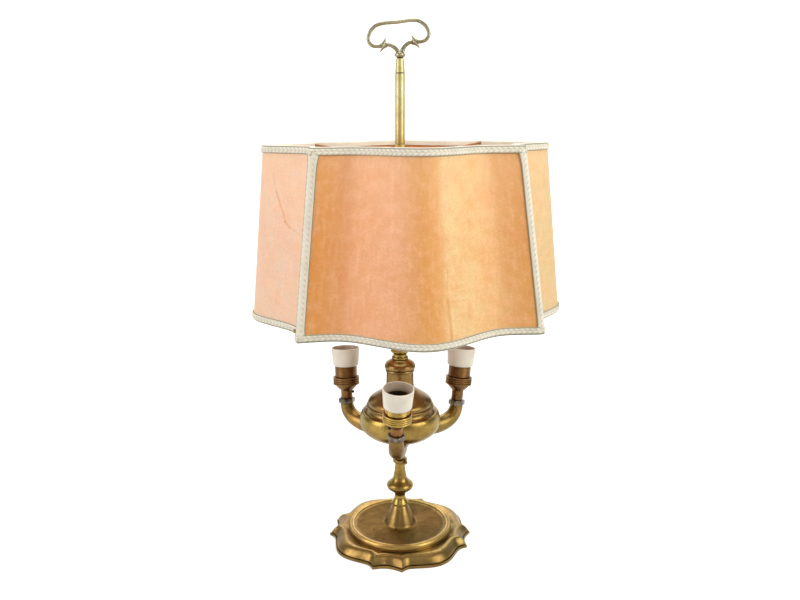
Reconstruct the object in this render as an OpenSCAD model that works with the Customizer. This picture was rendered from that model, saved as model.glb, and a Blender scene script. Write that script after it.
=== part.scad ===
// Table lamp in the form of an old three-spouted oil lamp, wired for electricity:
// a scalloped brass foot, a turned stem, a turned font with three curved arms and
// lampholders, a tall rod with a loop handle, and a bracket-sided shade on the rod.
// Millimetres, Z up, origin under the middle of the foot, the front faces -Y.

/* [Foot] */
// Radius of the foot at the tips of its cusps
foot_r = 96; // [90:1:112]
// Depth of the hollows between the cusps
foot_scallop = 7; // [3:0.5:9]
// Half angle between the two cusps of a pair
cusp_half_angle = 11.5; // [9:0.5:14]
// Turn of the foot, to the middle of a pair of cusps
foot_turn = -10; // [-45:1:45]
// Height of the thin lip on the floor
lip_h = 3.5; // [2:0.1:5]
// Height of the rolled skirt at its crest
skirt_h = 14.3; // [12:0.1:18]
// Width of the rolled skirt at the hollows
skirt_w = 20; // [12:0.1:24]
// Distance from the groove of the skirt to the double bead
bead_inset = 4.7; // [4:0.1:12]
// Height of the floor of the dish
dish_z = 18.2; // [17:0.1:24]
// Height of the top of the central cone
cone_top_z = 47.5; // [42:0.5:60]
// Wall of the cone at its top
cone_wall = 5.2; // [4:0.1:8]

/* [Stem] */
// Length of the turned stem
stem_len = 60.5; // [52:0.5:80]
// How far the collar at the stem's foot stands out
stem_collar_w = 4.5; // [2:0.1:6]
// Wall of the stem at its lower neck
stem_wall = 1.95; // [1.2:0.05:4]
// Radius of the knop
knop_r = 17.85; // [14:0.05:22]
// Wall of the column under the font
column_wall = 1.5; // [1:0.1:3]
// Wall of the stop collar under the font
stop_wall = 4.4; // [3:0.1:7]
// Height of the stop collar
stop_h = 4.6; // [4:0.1:8]
// Direction in which the stop screw points
stop_screw_dir = -52; // [-180:1:180]

/* [Font] */
// Radius of the bowl at its widest
font_r = 53.2; // [48:0.1:64]
// Depth of the bowl below its widest line
bowl_depth = 27.5; // [24:0.5:34]
// Height of the bowl above its widest line
bowl_rise = 14.5; // [12:0.5:18]
// How far the rim is drawn in from the widest line
rim_inset = 4.4; // [3:0.1:8]
// Wall of the neck under the bowl
font_neck_wall = 2.1; // [1.5:0.1:4]
// Height of the neck and its funnel under the bowl
font_neck_h = 27.6; // [25:0.1:34]
// Wall of the font
font_wall = 2; // [1.2:0.1:3]
// Width of the hollow between the rim and the bead on the shoulder
hollow_w = 5.8; // [4:0.1:9]
// Radius of the chimney neck
chimney_r = 17.9; // [15:0.1:22]
// Length of the chimney neck
chimney_h = 27; // [22:0.5:36]
// How far the cap's lip stands out from the chimney
cap_lip = 2.3; // [1.6:0.1:4]
// Height of the bell collar on the cap
bell_h = 15; // [12:0.5:20]

/* [Arms] */
// Distance of the lampholder nuts from the widest line of the font
arm_out = 34.2; // [28:0.1:45]
// Height of the lampholder nuts above the bottom of the font
arm_rise = 65.1; // [60:0.1:78]
// Height of the arm roots above the bottom of the font
arm_root_z = 37.6; // [36:0.1:41]
// Radius of an arm at its root
arm_root_r = 11.8; // [10:0.1:13]
// Wall of an arm at its tip
arm_wall = 3.2; // [2:0.1:4]
// Room round the nipple in the bore of an arm
arm_room = 0.6; // [0.4:0.1:1]
// Turn of the three arms from the front
arm_turn = -2.9; // [-60:0.1:60]
// Lean of the lampholders: front, right, left
holder_lean = [8.3, 7.5, 6]; // [0:0.5:12]
// Direction of each lean: front, right, left
holder_lean_dir = [-75, 52, 102]; // [-180:1:180]

/* [Lampholders] */
// Extra height of each lock nut: front, right, left
holder_rise = [2, 0, 0]; // [0:0.5:4]
// Length of each holder's neck above its nut: front, right, left
holder_neck = [11, 14, 11.3]; // [6:0.1:18]
// Wall of the holder's neck
holder_neck_wall = 2.7; // [2:0.1:4]
// Radius of the plain shell that carries the ring
shell_r = 15.1; // [12:0.05:18]
// Wall of the ribbed coupling band
band_wall = 2.7; // [2:0.05:4]
// Height of the ribbed band
band_h = 10.5; // [8:0.5:14]
// Number of ribs on the band
band_ribs = 4; // [3:1:8]
// Height of the bare shell between band and ring: front, right, left
shell_show = [8, 15.5, 15.5]; // [6:0.5:20]
// Height of the shade ring
ring_h = 24.8; // [18:0.1:32]
// Width of the threaded flange at the foot of the shade ring
ring_flange = 2.4; // [2:0.05:4]
// How far the shade ring flares out to its top
ring_flare = 1.8; // [1:0.1:5]
// Wall of the shade ring
ring_wall = 1.6; // [1:0.1:2]
// Wall of the lock nut at its flats
nut_wall = 4.9; // [3.5:0.1:7]
// Height of the lock nut
nut_h = 7; // [4:0.5:9]

/* [Rod and finial] */
// Radius of the threaded tie rod
tie_r = 5; // [4.5:0.1:5.5]
// Wall of the tube over the rod
tube_wall = 0.8; // [0.5:0.1:1.5]
// Height of the top of the tube
tube_top_z = 612; // [580:1:740]
// Height of the tapered ferrule
ferrule_h = 16.8; // [12:0.2:24]
// Radius of the bead under the handle
bead_r = 6.2; // [5:0.1:8]
// Half width of the loop handle
loop_half_w = 36.2; // [28:0.1:46]
// Height of the loop handle
loop_h = 33.5; // [30:0.5:42]
// Radius of the handle's wire
loop_wire_r = 2; // [1.4:0.1:2.2]
// Sideways lean of the loop handle
loop_lean = -6; // [-12:0.5:12]

/* [Shade] */
// Drop from the top of the tube to the flange that carries the shade
hub_drop = 106; // [40:1:200]
// Height of the shade's wall
shade_h = 211.5; // [160:0.5:240]
// Rise of the shade's top rim above the flange
shade_rise = 22; // [18:0.5:40]
// Half width of front and back panels, bottom and top
panel_half_w = [139, 117]; // [90:0.1:180]
// Half width of the side panels, bottom and top
panel_half_d = [129.6, 107]; // [90:0.1:180]
// Bulge of each panel, bottom and top
panel_bulge = [57, 58.5]; // [0:0.5:70]
// Half width of the bulge, bottom and top
bulge_half_w = [103, 82]; // [50:0.5:125]
// Outward flare of the panels at the ribs
panel_flare = 2.7; // [0:0.1:6]
// Thickness of the parchment
parchment_t = 0.8; // [0.5:0.1:1.5]
// Radius of the frame wire
wire_r = 1.5; // [1:0.1:2]
// Height of the braid on the rims
rim_braid_h = 8; // [5:0.5:14]
// Width of the braid on the ribs, on each side of the corner
rib_braid_w = 6.2; // [4:0.1:9]
// Thickness of the braid
braid_t = 2; // [0.8:0.1:3]
// Turn of the shade on the rod
shade_turn = 6.15; // [-45:0.05:45]
// Sideways shift of the shade's frame from the rod
shade_shift = 9; // [-12:0.5:12]
// Lean of the shade, front edge up and right edge up
shade_lean = [0.81, 0.44]; // [-3:0.01:3]

/* [Fits] */
// Radial clearance of pieces that are screwed or pushed together
fit = 0.1; // [0.05:0.01:0.1]
// Radial clearance of pieces that turn or slide on each other
run_fit = 0.08; // [0.03:0.01:0.1]
// Gap between pieces that turn past each other
run_gap = 0.3; // [0.3:0.05:0.6]
// Gap between glued or brazed pieces
seat_gap = 0.05; // [0.02:0.01:0.1]
// Gap between the braid and the parchment
braid_gap = 0.15; // [0.12:0.01:0.3]

/* [Hidden] */
$fn = 64;

brass = "#9a7b34";
bronze = "#8a6238";
old_brass = "#6d4524";
bright_brass = "#b08d3c";
steel = "#8f8d88";
black_steel = "#1c1b1a";
porcelain = "#efe9de";
parchment = "#efbf95";
braid_ivory = "#dcd8c6";

tie_bore = tie_r + fit;
font_bore = tie_r + run_fit;
wiring_bore = tie_r - 1.5;
stub_r = tie_r - 1.6;
stub_h = 9;
tube_r = tie_bore + tube_wall;
sleeve_bore = tube_r + run_fit;
sleeve_r = sleeve_bore + 2;
eye_bore = sleeve_r + run_fit;
eye_r = eye_bore + 4.8;

washer_h = 1.5;
foot_nut_h = 7;
boss_z = 14;
rod_foot_z = boss_z - washer_h - foot_nut_h - 1;
dish_r = foot_r - foot_scallop - skirt_w;
bead_ring_r = dish_r - bead_inset;
cone_top_r = tie_bore + cone_wall;
ledge_r = dish_r - 4.5;
ledge_z = skirt_h - 2.9;

stem_neck_r = tie_bore + stem_wall;
stem_collar_r = stem_neck_r + stem_collar_w;
column_r = tie_bore + column_wall;
stop_r = tie_bore + stop_wall;
stem_z = cone_top_z;
stop_z = stem_z + stem_len;
font_z = stop_z + stop_h + run_gap;
wide_z = font_z + font_neck_h + bowl_depth - 1;
rim_z = wide_z + bowl_rise;
shoulder_z = rim_z + 31.5;
cap_z = shoulder_z + chimney_h;
bell_z = cap_z + 13;
bell_top_z = bell_z + bell_h;
tube_z = bell_top_z + run_gap;

font_neck_r = tie_bore + font_neck_wall;
rim_r = font_r - rim_inset;
shoulder_bead_r = rim_r - hollow_w;
cap_r = chimney_r + cap_lip;
terminal_h = 8;
bowl_in_r = font_r - font_wall;
bowl_in_depth = bowl_depth - font_wall;
bowl_flat_a = 70;
terminal_r = bowl_in_r * cos(bowl_flat_a) - 0.5;
terminal_z = wide_z - bowl_in_depth * sin(bowl_flat_a) + seat_gap;

arm_reach = font_r + arm_out;
arm_bore_r = tie_r + arm_room;
arm_tip_r = arm_bore_r + arm_wall;
nut_af = 2 * (tie_bore + nut_wall);
holder_neck_r = tie_bore + holder_neck_wall;
band_r = shell_r + fit + band_wall;
ring_bore = shell_r + run_fit;
ring_foot_r = ring_bore + ring_flange;
ring_top_r = ring_foot_r + ring_flare;
cup_h = 8.2;
shell_in_r = shell_r - 0.95;
core_r = shell_in_r - fit;
core_h = 11;
shell_h = band_h + max(shell_show) + 7;
function ring_z(i) = cup_h + band_h + shell_show[i];
screw_r = 1.5;

hub_z = tube_top_z - hub_drop;
rim_top_z = hub_z + shade_rise;
flange_h = 2.5;
eye_z = hub_z + flange_h + run_gap;
eye_h = 4;
hub_screw_z = rim_top_z - 5.5;
bead_z = tube_top_z + run_gap + ferrule_h + seat_gap;
bead_h = 8.2;
loop_foot_r = 1.28 * loop_wire_r;
loop_foot_x = loop_foot_r + 0.3;
loop_z = bead_z + bead_h + seat_gap + loop_foot_x * abs(sin(loop_lean));
panel_steps = 24;
wire_in = parchment_t + seat_gap + wire_r;
braid_out = braid_gap + braid_t;

function lerp(a, b, t) = a + (b - a) * t;
function unit(v) = v / norm(v);
function flat(v) = [v[0], v[1]];
function polar(r, a, z) = [r * cos(a), r * sin(a), z];

// Cubic curve through four control points, in n steps
function bez(p, n) = [
    for (k = [0 : n])
        let (t = k / n, s = 1 - t)
            s * s * s * p[0] + 3 * s * s * t * p[1] + 3 * s * t * t * p[2] + t * t * t * p[3]
];

// Smooth curve through a row of points, with n steps in each span
function spline(p, n) = concat([
    for (i = [0 : len(p) - 2]) for (k = [0 : n - 1])
        span(p[max(i - 1, 0)], p[i], p[i + 1], p[min(i + 2, len(p) - 1)], k / n)
], [p[len(p) - 1]]);
function span(a, b, c, d, t) =
    (2 * b + (c - a) * t + (2 * a - 5 * b + 4 * c - d) * t * t
        + (3 * b - a - 3 * c + d) * t * t * t) / 2;

// Quarter round that leaves its first point level and ends upright
function round_in(a, b, n) = [
    for (k = [0 : n])
        [lerp(a[0], b[0], sin(90 * k / n)), lerp(b[1], a[1], cos(90 * k / n))]
];
// Half-round bead on a turned outline, from below to above its centre
function bead_arc(r, z, size, n) = [
    for (k = [0 : n]) [r + size * cos(180 * k / n - 90), z + size * sin(180 * k / n - 90)]
];

// Ring of points round a path point, square to the path
function path_ring(c, along, side, r, m) =
    let (n = unit(cross(side, along)), b = cross(unit(along), n))
        [for (j = [0 : m - 1]) c + r * (cos(360 * j / m) * n + sin(360 * j / m) * b)];
function heading(p, i) = p[min(i + 1, len(p) - 1)] - p[max(i - 1, 0)];

// Closed skin over a row of rings with the same number of points
module skin(rings, closed = false) {
    n = len(rings);
    m = len(rings[0]);
    sides = [
        for (i = [0 : closed ? n - 1 : n - 2]) for (j = [0 : m - 1])
            let (k = (j + 1) % m, a = i * m, b = ((i + 1) % n) * m)
                each [[a + j, b + k, a + k], [a + j, b + j, b + k]]
    ];
    e = (n - 1) * m;
    caps = [for (j = [1 : m - 2]) each [[0, j, j + 1], [e, e + j + 1, e + j]]];
    polyhedron([for (r = rings) each r], closed ? sides : concat(sides, caps), convexity = 8);
}

module turned(outline) {
    rotate_extrude() polygon(outline);
}

module washer_disc(r, bore, h) {
    difference() {
        cylinder(r = r, h = h);
        translate([0, 0, -1]) cylinder(r = bore, h = h + 2);
    }
}

module hex_nut(af, bore, h) {
    difference() {
        cylinder(r = af / sqrt(3), h = h, $fn = 6);
        translate([0, 0, -1]) cylinder(r = bore, h = h + 2);
    }
}

// Straight round bar between two points
module bar(a, b, r) {
    d = b - a;
    translate(a)
        rotate([0, acos(d[2] / norm(d)), atan2(d[1], d[0])])
            cylinder(r = r, h = norm(d));
}

// Slotted screw that points along +X, its head beginning at head_x
module side_screw(tip_x, head_x, shank, head, head_h) {
    difference() {
        union() {
            translate([tip_x, 0, 0]) rotate([0, 90, 0]) cylinder(r = shank, h = head_x - tip_x + 0.5);
            translate([head_x, 0, 0]) rotate([0, 90, 0]) cylinder(r = head, h = head_h);
        }
        translate([head_x + head_h - 0.8, -head / 6, -head - 1]) cube([2, head / 3, 2 * head + 2]);
    }
}

// Outline radius of the foot at an angle from the middle of a pair of cusps
lobe_start = cusp_half_angle + 7.5;
function foot_outline(a) =
    let (valley = foot_r - foot_scallop)
        a <= cusp_half_angle ? valley + foot_scallop * pow(a / cusp_half_angle, 2)
        : a <= lobe_start ? valley + foot_scallop * pow((lobe_start - a) / 7.5, 2)
        : valley + foot_scallop * (1 - cos(180 * (a - lobe_start) / (45 - lobe_start))) / 2;

// Section of the foot ring where its outline has radius r, from under the floor over the roll
// to its crest and down into the groove beside the dish
skirt_mean_r = foot_r - foot_scallop / 2;
skirt_crest = 0.55;
skirt_groove = 2.1;
function skirt_point(r, t) = [
    lerp(skirt_mean_r - 2.2, dish_r + 0.9, t) + (r - skirt_mean_r) * (1 - t * t),
    t < skirt_crest ? lerp(lip_h + 0.9, skirt_h, pow(sin(90 * t / skirt_crest), 0.8))
        : skirt_h - skirt_groove * (1 - cos(180 * (t - skirt_crest) / (1 - skirt_crest))) / 2
];
function foot_section(r) = concat(
    [[r, -1], [r, lip_h - 0.4], [r - 0.4, lip_h], [r - 2.1, lip_h + 0.2]],
    [for (k = [0 : 10]) skirt_point(r, k / 10)],
    [
        [dish_r + 0.2, skirt_h - skirt_groove - 0.1], [dish_r + 0.2, ledge_z], [ledge_r, ledge_z],
        [ledge_r, ledge_z - 3], [lerp(r - 5, ledge_r, 0.5), ledge_z - 4.2], [r - 4.5, -1]
    ]
);

half_lobe = concat(
    [for (k = [0 : 3]) cusp_half_angle * k / 4],
    [for (k = [0 : 3]) lerp(cusp_half_angle, lobe_start, k / 4)],
    [for (k = [0 : 8]) lerp(lobe_start, 45, k / 8)]
);
lobe_angles = concat(
    [for (k = [0 : len(half_lobe) - 2]) half_lobe[k]],
    [for (k = [len(half_lobe) - 1 : -1 : 1]) 90 - half_lobe[k]]
);

// The ring is drawn down past the floor and cut level, so that it stands on one flat face
module foot_ring() {
    color(bronze) difference() {
        skin([
            for (q = [3 : -1 : 0]) for (k = [len(lobe_angles) - 1 : -1 : 0])
                let (a = lobe_angles[k], r = foot_outline(min(a, 90 - a)))
                    [for (p = foot_section(r)) polar(p[0], foot_turn + 90 * q + a, p[1])]
        ], closed = true);
        translate([-2 * foot_r, -2 * foot_r, -5]) cube([4 * foot_r, 4 * foot_r, 5]);
    }
}

module foot_dish() {
    torus_top = dish_z + 2;
    outline = concat(
        [[dish_r - 0.3, ledge_z], [dish_r, ledge_z + 1.4]],
        bez([[dish_r, ledge_z + 2.2], [dish_r + 0.15, ledge_z + 6.2], [dish_r - 1.1, torus_top + 0.4],
            [bead_ring_r + 2.2, torus_top]], 8),
        [
            for (k = [0 : 6])
                [bead_ring_r - 0.4 + 1.7 * cos(30 * k), torus_top - 0.6 + 0.8 * sin(30 * k)]
        ],
        [[bead_ring_r - 3, dish_z + 0.7], [bead_ring_r - 4.6, dish_z + 0.2]],
        bez([[21.6, dish_z], [20, dish_z + 4.3], [16.4, dish_z + 14.3], [cone_top_r + 0.3, cone_top_z - 2.3]], 9),
        [[cone_top_r, cone_top_z - 1.9], [cone_top_r, cone_top_z], [tie_bore, cone_top_z]],
        [[tie_bore, boss_z], [20, boss_z], [24, dish_z - 2.8], [bead_ring_r - 4, dish_z - 2.8]],
        [[bead_ring_r + 0.6, dish_z - 1.6], [ledge_r + 1, ledge_z + 2.4], [ledge_r + 1, ledge_z]]
    );
    color(bronze) turned(outline);
}

module foot_washer() {
    color(steel) translate([0, 0, boss_z - washer_h]) washer_disc(tie_bore + 9.9, tie_bore, washer_h);
}

module foot_nut() {
    color(steel) translate([0, 0, boss_z - washer_h - foot_nut_h])
        hex_nut(2 * (tie_bore + 4.4), tie_bore, foot_nut_h);
}

// Threaded tube through the whole lamp, with a stub for the finial and an exit for the leads
module tie_rod() {
    color(brass) difference() {
        union() {
            translate([0, 0, rod_foot_z]) cylinder(r = tie_r, h = tube_top_z - rod_foot_z);
            translate([0, 0, tube_top_z - 1]) cylinder(r = stub_r, h = stub_h + 1);
        }
        translate([0, 0, rod_foot_z - 1])
            cylinder(r = wiring_bore, h = tube_top_z - rod_foot_z - 11);
        translate([0, 0, terminal_z + terminal_h + 8]) rotate([0, 90, 0])
            cylinder(r = 3, h = 20, center = true);
    }
}

module stem() {
    z = stem_z;
    top = stem_len;
    outline = concat(
        [[tie_bore, z], [stem_collar_r, z]],
        bez([[stem_collar_r, z + 2], [stem_collar_r - 2.5, z + 4.5], [stem_neck_r, z + 8.5],
            [stem_neck_r, z + 12.5]], 6),
        bez([[stem_neck_r + 0.01, z + 12.6], [stem_neck_r + 0.4, z + 20.5], [knop_r - 0.6, z + 20],
            [knop_r, z + 26.4]], 9),
        bez([[knop_r, z + 27.2], [knop_r - 0.8, z + 32.5], [column_r + 2.8, z + 32.5],
            [column_r + 2, z + 41]], 9),
        bez([[column_r + 1.98, z + 41.1], [column_r + 1, z + 46], [column_r, z + 50],
            [column_r, z + top]], 6),
        [[tie_bore, z + top]]
    );
    color(brass) turned(outline);
}

module stop_collar() {
    color(old_brass) difference() {
        translate([0, 0, stop_z]) washer_disc(stop_r, tie_bore, stop_h);
        translate([0, 0, stop_z + stop_h / 2]) rotate([0, 0, stop_screw_dir])
            translate([tie_r - 1, 0, 0]) rotate([0, 90, 0]) cylinder(r = screw_r + run_fit, h = stop_r);
    }
}

module stop_screw() {
    color(steel) translate([0, 0, stop_z + stop_h / 2]) rotate([0, 0, stop_screw_dir])
        side_screw(tie_r + run_gap, stop_r + run_gap, screw_r, 2.5, 2.8);
}

// Plain tube that hides the rod between the bell collar and the finial
module column_tube() {
    color(bright_brass) translate([0, 0, tube_z]) washer_disc(tube_r, tie_bore, tube_top_z - tube_z);
}

// Outside of the bowl from its neck over the funnel to the rim, grown all round
function bowl_outer(grow) =
    let (
        r = font_r + grow,
        depth = bowl_depth + grow,
        join_a = 66,
        neck = font_neck_r + grow,
        low = [r * cos(join_a), wide_z - depth * sin(join_a)]
    )
        concat(
            [[neck, font_z]],
            bez([[neck, low[1] - 24], [neck + 1.4, low[1] - 10],
                [lerp(low[0], neck, 0.45), low[1] - 5], low], 8),
            [
                for (k = [1 : 10])
                    let (a = join_a * (1 - k / 10))
                        [r * cos(a), wide_z - depth * sin(a)]
            ],
            [
                for (k = [1 : 6])
                    [lerp(rim_r + grow, r, cos(15 * k)), wide_z + bowl_rise * sin(15 * k)]
            ]
        );

module font_bowl() {
    inner = concat(
        [
            for (k = [0 : 3])
                [lerp(rim_r, font_r, sin(30 * k)) - font_wall, wide_z + bowl_rise * cos(30 * k)]
        ],
        [
            for (k = [1 : 8])
                let (a = bowl_flat_a * k / 8)
                    [bowl_in_r * cos(a), wide_z - bowl_in_depth * sin(a)]
        ],
        [[font_bore, wide_z - bowl_in_depth * sin(bowl_flat_a)]]
    );
    color(brass) difference() {
        turned(concat([[font_bore, font_z]], bowl_outer(0), inner));
        for (i = [0 : 2]) rotate([0, 0, arm_dir(i)])
            translate([20, 0, font_z + arm_root_z]) rotate([0, 90, 0])
                cylinder(r = arm_bore_r, h = font_r);
    }
}

module font_shoulder() {
    step_r = shoulder_bead_r - 0.7;
    step_z = rim_z + 13.1;
    top_r = chimney_r + 1.5;
    outer = concat(
        round_in([rim_r - 0.2, rim_z], [shoulder_bead_r + 0.3, rim_z + 6], 5),
        bead_arc(shoulder_bead_r, rim_z + 7.6, 1.5, 6),
        [[step_r, rim_z + 9.3]],
        bez([[step_r, step_z], [step_r - 2, step_z + 6.4], [lerp(top_r, step_r, 0.33), step_z + 11.4],
            [top_r, shoulder_z]], 10)
    );
    inner = concat(
        bez([[top_r - 2.2, shoulder_z], [lerp(top_r, step_r, 0.3) - 2, step_z + 9],
            [step_r - 4, step_z + 4], [step_r - 2, step_z - 1]], 6),
        [[shoulder_bead_r - 2.2, rim_z + 5], [rim_r - 4, rim_z]]
    );
    color(brass) turned(concat(outer, inner));
}

module font_chimney() {
    z = shoulder_z;
    top = z + chimney_h;
    outer = concat(
        bez([[chimney_r + 1.5, z], [chimney_r + 0.5, z + 3], [chimney_r, z + 6],
            [chimney_r - 0.1, top - 4.2]], 6),
        [[chimney_r + 1, top - 3.4], [chimney_r + 1.2, top - 1.8], [chimney_r + 0.4, top]]
    );
    color(brass) turned(concat(outer, [[chimney_r - 1.7, top], [chimney_r - 1.7, z]]));
}

module font_cap() {
    z = cap_z;
    outline = concat(
        [[cap_r - 2.2, z], [cap_r - 0.9, z], [cap_r, z + 1.6], [cap_r, z + 4.2]],
        bez([[cap_r - 0.4, z + 5], [cap_r - 2, z + 10], [13, z + 9.5], [10.2, bell_z]], 8),
        [[7, bell_z], [7, z + 10.5], [cap_r - 6, z + 7], [cap_r - 2.6, z + 3]]
    );
    color(brass) turned(outline);
}

module font_bell() {
    z = bell_z;
    outline = concat(
        [[font_bore, z]],
        bead_arc(9.3, z + 1.7, 1.7, 6),
        bez([[9.2, z + 3.6], [8.4, z + 6], [8.6, z + 7], [11.6, z + 9.6]], 6),
        [[12.3, z + 10.6], [12.3, z + 11.8], [11.2, z + 12.8], [10.4, bell_top_z]],
        [[font_bore, bell_top_z]]
    );
    color(bright_brass) turned(outline);
}

// Porcelain ring in the bowl on which the leads of the three arms meet
module terminal_ring() {
    color(porcelain) translate([0, 0, terminal_z]) washer_disc(terminal_r, tie_r + 2, terminal_h);
}

function arm_dir(i) = arm_turn - 90 + 120 * i;
function nut_at(i) = polar(arm_reach, arm_dir(i), font_z + arm_rise + holder_rise[i]);
function holder_axis(i) =
    polar(sin(holder_lean[i]), holder_lean_dir[i], cos(holder_lean[i]));

module at_holder(i) {
    translate(nut_at(i)) rotate([0, holder_lean[i], holder_lean_dir[i]]) children();
}

// Middle line of an arm from inside the bowl to its lampholder nut
root_in = [0.56 * font_r, 0.72 * font_r];
root_out = font_r + 1.5;
arm_steps = 12;
function arm_line(i) =
    let (
        z = font_z + arm_root_z,
        d = arm_dir(i),
        tip = nut_at(i) - holder_axis(i) * (nut_h / 2 + seat_gap)
    )
        concat(
            [for (r = root_in) polar(r, d, z)],
            bez([polar(root_out, d, z), polar(lerp(root_out, arm_reach, 0.55), d, z + 0.2),
                tip - holder_axis(i) * 15, tip], arm_steps)
        );
function arm_radius(k) =
    k == 0 ? arm_bore_r + 0.6
        : k == 1 ? lerp(arm_bore_r + 0.6, arm_root_r, 0.6)
        : lerp(arm_root_r, arm_tip_r, pow((k - 2) / arm_steps, 0.8));

// Hollow arm whose root is cut to the bowl it is brazed on
module arm(i) {
    line = arm_line(i);
    side = [-sin(arm_dir(i)), cos(arm_dir(i)), 0];
    last = len(line) - 1;
    way = [for (k = [0 : last]) k == last ? holder_axis(i) : heading(line, k)];
    outer = [for (k = [0 : last]) path_ring(line[k], way[k], -side, arm_radius(k), 20)];
    inner = [for (k = [last : -1 : 0]) path_ring(line[k], way[k], -side, arm_bore_r, 20)];
    color(brass) difference() {
        skin(concat(outer, inner), closed = true);
        turned(concat([[0, font_z]], bowl_outer(seat_gap), [[0, rim_z]]));
    }
}
module arm_front() { arm(0); }
module arm_right() { arm(1); }
module arm_left() { arm(2); }

// Flex from the terminal ring through each arm to the foot of its lampholder
module arm_leads() {
    lead_r = 1.9;
    color(black_steel) for (i = [0 : 2]) {
        d = arm_dir(i);
        top = nut_at(i) + holder_axis(i) * (nut_h / 2 + holder_neck[i] + cup_h + 0.9);
        line = concat(
            [polar(terminal_r - 4, d, terminal_z + terminal_h + lead_r + seat_gap),
                polar(terminal_r + 4, d, terminal_z + terminal_h + lead_r + 1.5)],
            arm_line(i),
            [nut_at(i), top]
        );
        side = [sin(d), -cos(d), 0];
        skin([for (k = [0 : len(line) - 1]) path_ring(line[k], heading(line, k), side, lead_r, 8)]);
    }
}

module arm_nuts() {
    color(steel) for (i = [0 : 2]) at_holder(i)
        translate([0, 0, -nut_h / 2]) rotate([0, 0, 17 * i]) hex_nut(nut_af, tie_bore, nut_h);
}

module arm_nipples() {
    color(brass) for (i = [0 : 2]) at_holder(i)
        translate([0, 0, -nut_h / 2 - 4.5])
            washer_disc(tie_r, wiring_bore, nut_h + 4.5 + holder_neck[i] - 1);
}

// The holder's own frame starts at the top of its neck
module on_neck(i) {
    at_holder(i) translate([0, 0, nut_h / 2 + holder_neck[i]]) children();
}

screw_dir = [180, 90, 0];

module holder_cap(i) {
    seat_r = shell_r - 0.2;
    neck_z = -holder_neck[i];
    outline = concat(
        [[tie_bore, neck_z + seat_gap], [holder_neck_r, neck_z + seat_gap]],
        bez([[holder_neck_r, -0.8], [holder_neck_r + 2.4, 1.8], [seat_r - 1.6, 4.4], [seat_r, cup_h - 0.9]], 7),
        [[seat_r, cup_h], [seat_r - 3, cup_h], [seat_r - 3, cup_h - 1.6], [tie_bore + 1.2, 1.2], [tie_bore, 0]]
    );
    color(i == 0 ? bright_brass : old_brass) on_neck(i) difference() {
        turned(outline);
        rotate([0, 0, screw_dir[i] - holder_lean_dir[i]]) translate([tie_r, 0, -3])
            rotate([0, 90, 0]) cylinder(r = 1.2 + fit, h = 6);
    }
}
module holder_cap_front() { holder_cap(0); }
module holder_cap_right() { holder_cap(1); }
module holder_cap_left() { holder_cap(2); }

module holder_band(i) {
    pitch = band_h / band_ribs;
    grooves = [
        for (k = [1 : band_ribs - 1])
            each [[band_r, cup_h + pitch * k - 0.65], [band_r - 0.9, cup_h + pitch * k],
                [band_r, cup_h + pitch * k + 0.65]]
    ];
    outline = concat(
        [[shell_r + fit, cup_h], [band_r - 0.4, cup_h], [band_r, cup_h + 0.4]], grooves,
        [[band_r, cup_h + band_h - 0.4], [band_r - 0.4, cup_h + band_h]],
        [[shell_r + fit, cup_h + band_h]]
    );
    color(i == 0 ? bright_brass : old_brass) on_neck(i) turned(outline);
}
module holder_band_front() { holder_band(0); }
module holder_band_right() { holder_band(1); }
module holder_band_left() { holder_band(2); }

module holder_shell(i) {
    top = cup_h + shell_h;
    outline = [
        [shell_in_r - 2.3, cup_h], [shell_r, cup_h], [shell_r, top - 0.6], [shell_r - 0.4, top],
        [shell_in_r, top], [shell_in_r, cup_h + 1], [shell_in_r - 2.3, cup_h + 1]
    ];
    color(i == 0 ? bright_brass : old_brass) on_neck(i) turned(outline);
}
module holder_shell_front() { holder_shell(0); }
module holder_shell_right() { holder_shell(1); }
module holder_shell_left() { holder_shell(2); }

module holder_core(i) {
    color(porcelain) on_neck(i) translate([0, 0, cup_h + 1]) difference() {
        cylinder(r = core_r, h = core_h);
        translate([0, 0, core_h - 3]) cylinder(r = core_r - 3.5, h = 4);
    }
}
module holder_core_front() { holder_core(0); }
module holder_core_right() { holder_core(1); }
module holder_core_left() { holder_core(2); }

module holder_contacts() {
    color(bright_brass) for (i = [0 : 2]) on_neck(i)
        translate([0, 0, cup_h + 1 + core_h - 3]) cylinder(r = 4.5, h = 1.6);
}

module holder_screws() {
    color(black_steel) for (i = [0 : 2]) on_neck(i)
        rotate([0, 0, screw_dir[i] - holder_lean_dir[i]]) translate([0, 0, -3])
            side_screw(tie_r + 0.15, holder_neck_r + seat_gap, 1.2, 1.8, 2.4);
}

// White ring that screws on the shell, with a threaded flange at its foot
module shade_ring(i) {
    low = ring_z(i);
    top = low + ring_h;
    flange_top = low + 7.4;
    outline = [
        [ring_bore, low], [ring_foot_r - 1.4, low], [ring_foot_r - 0.4, low + 0.7], [ring_foot_r, low + 2],
        [ring_top_r, top - 0.5], [ring_top_r - 0.5, top], [ring_top_r - ring_wall, top],
        [ring_foot_r - ring_wall + 1, flange_top + 1], [ring_foot_r - ring_wall, flange_top],
        [ring_bore, flange_top]
    ];
    color(porcelain) on_neck(i) turned(outline);
}
module shade_ring_front() { shade_ring(0); }
module shade_ring_right() { shade_ring(1); }
module shade_ring_left() { shade_ring(2); }

// Bush that is clamped on the tube and carries the shade on its flange
module hub_sleeve() {
    color(brass) difference() {
        union() {
            translate([0, 0, hub_z]) cylinder(r = eye_r - 0.4, h = flange_h);
            translate([0, 0, hub_z]) cylinder(r = sleeve_r, h = rim_top_z - hub_z);
        }
        translate([0, 0, hub_z - 1]) cylinder(r = sleeve_bore, h = rim_top_z - hub_z + 2);
        translate([-tube_r, 0, hub_screw_z]) rotate([0, -90, 0])
            cylinder(r = screw_r + run_fit, h = 10);
    }
}

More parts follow.
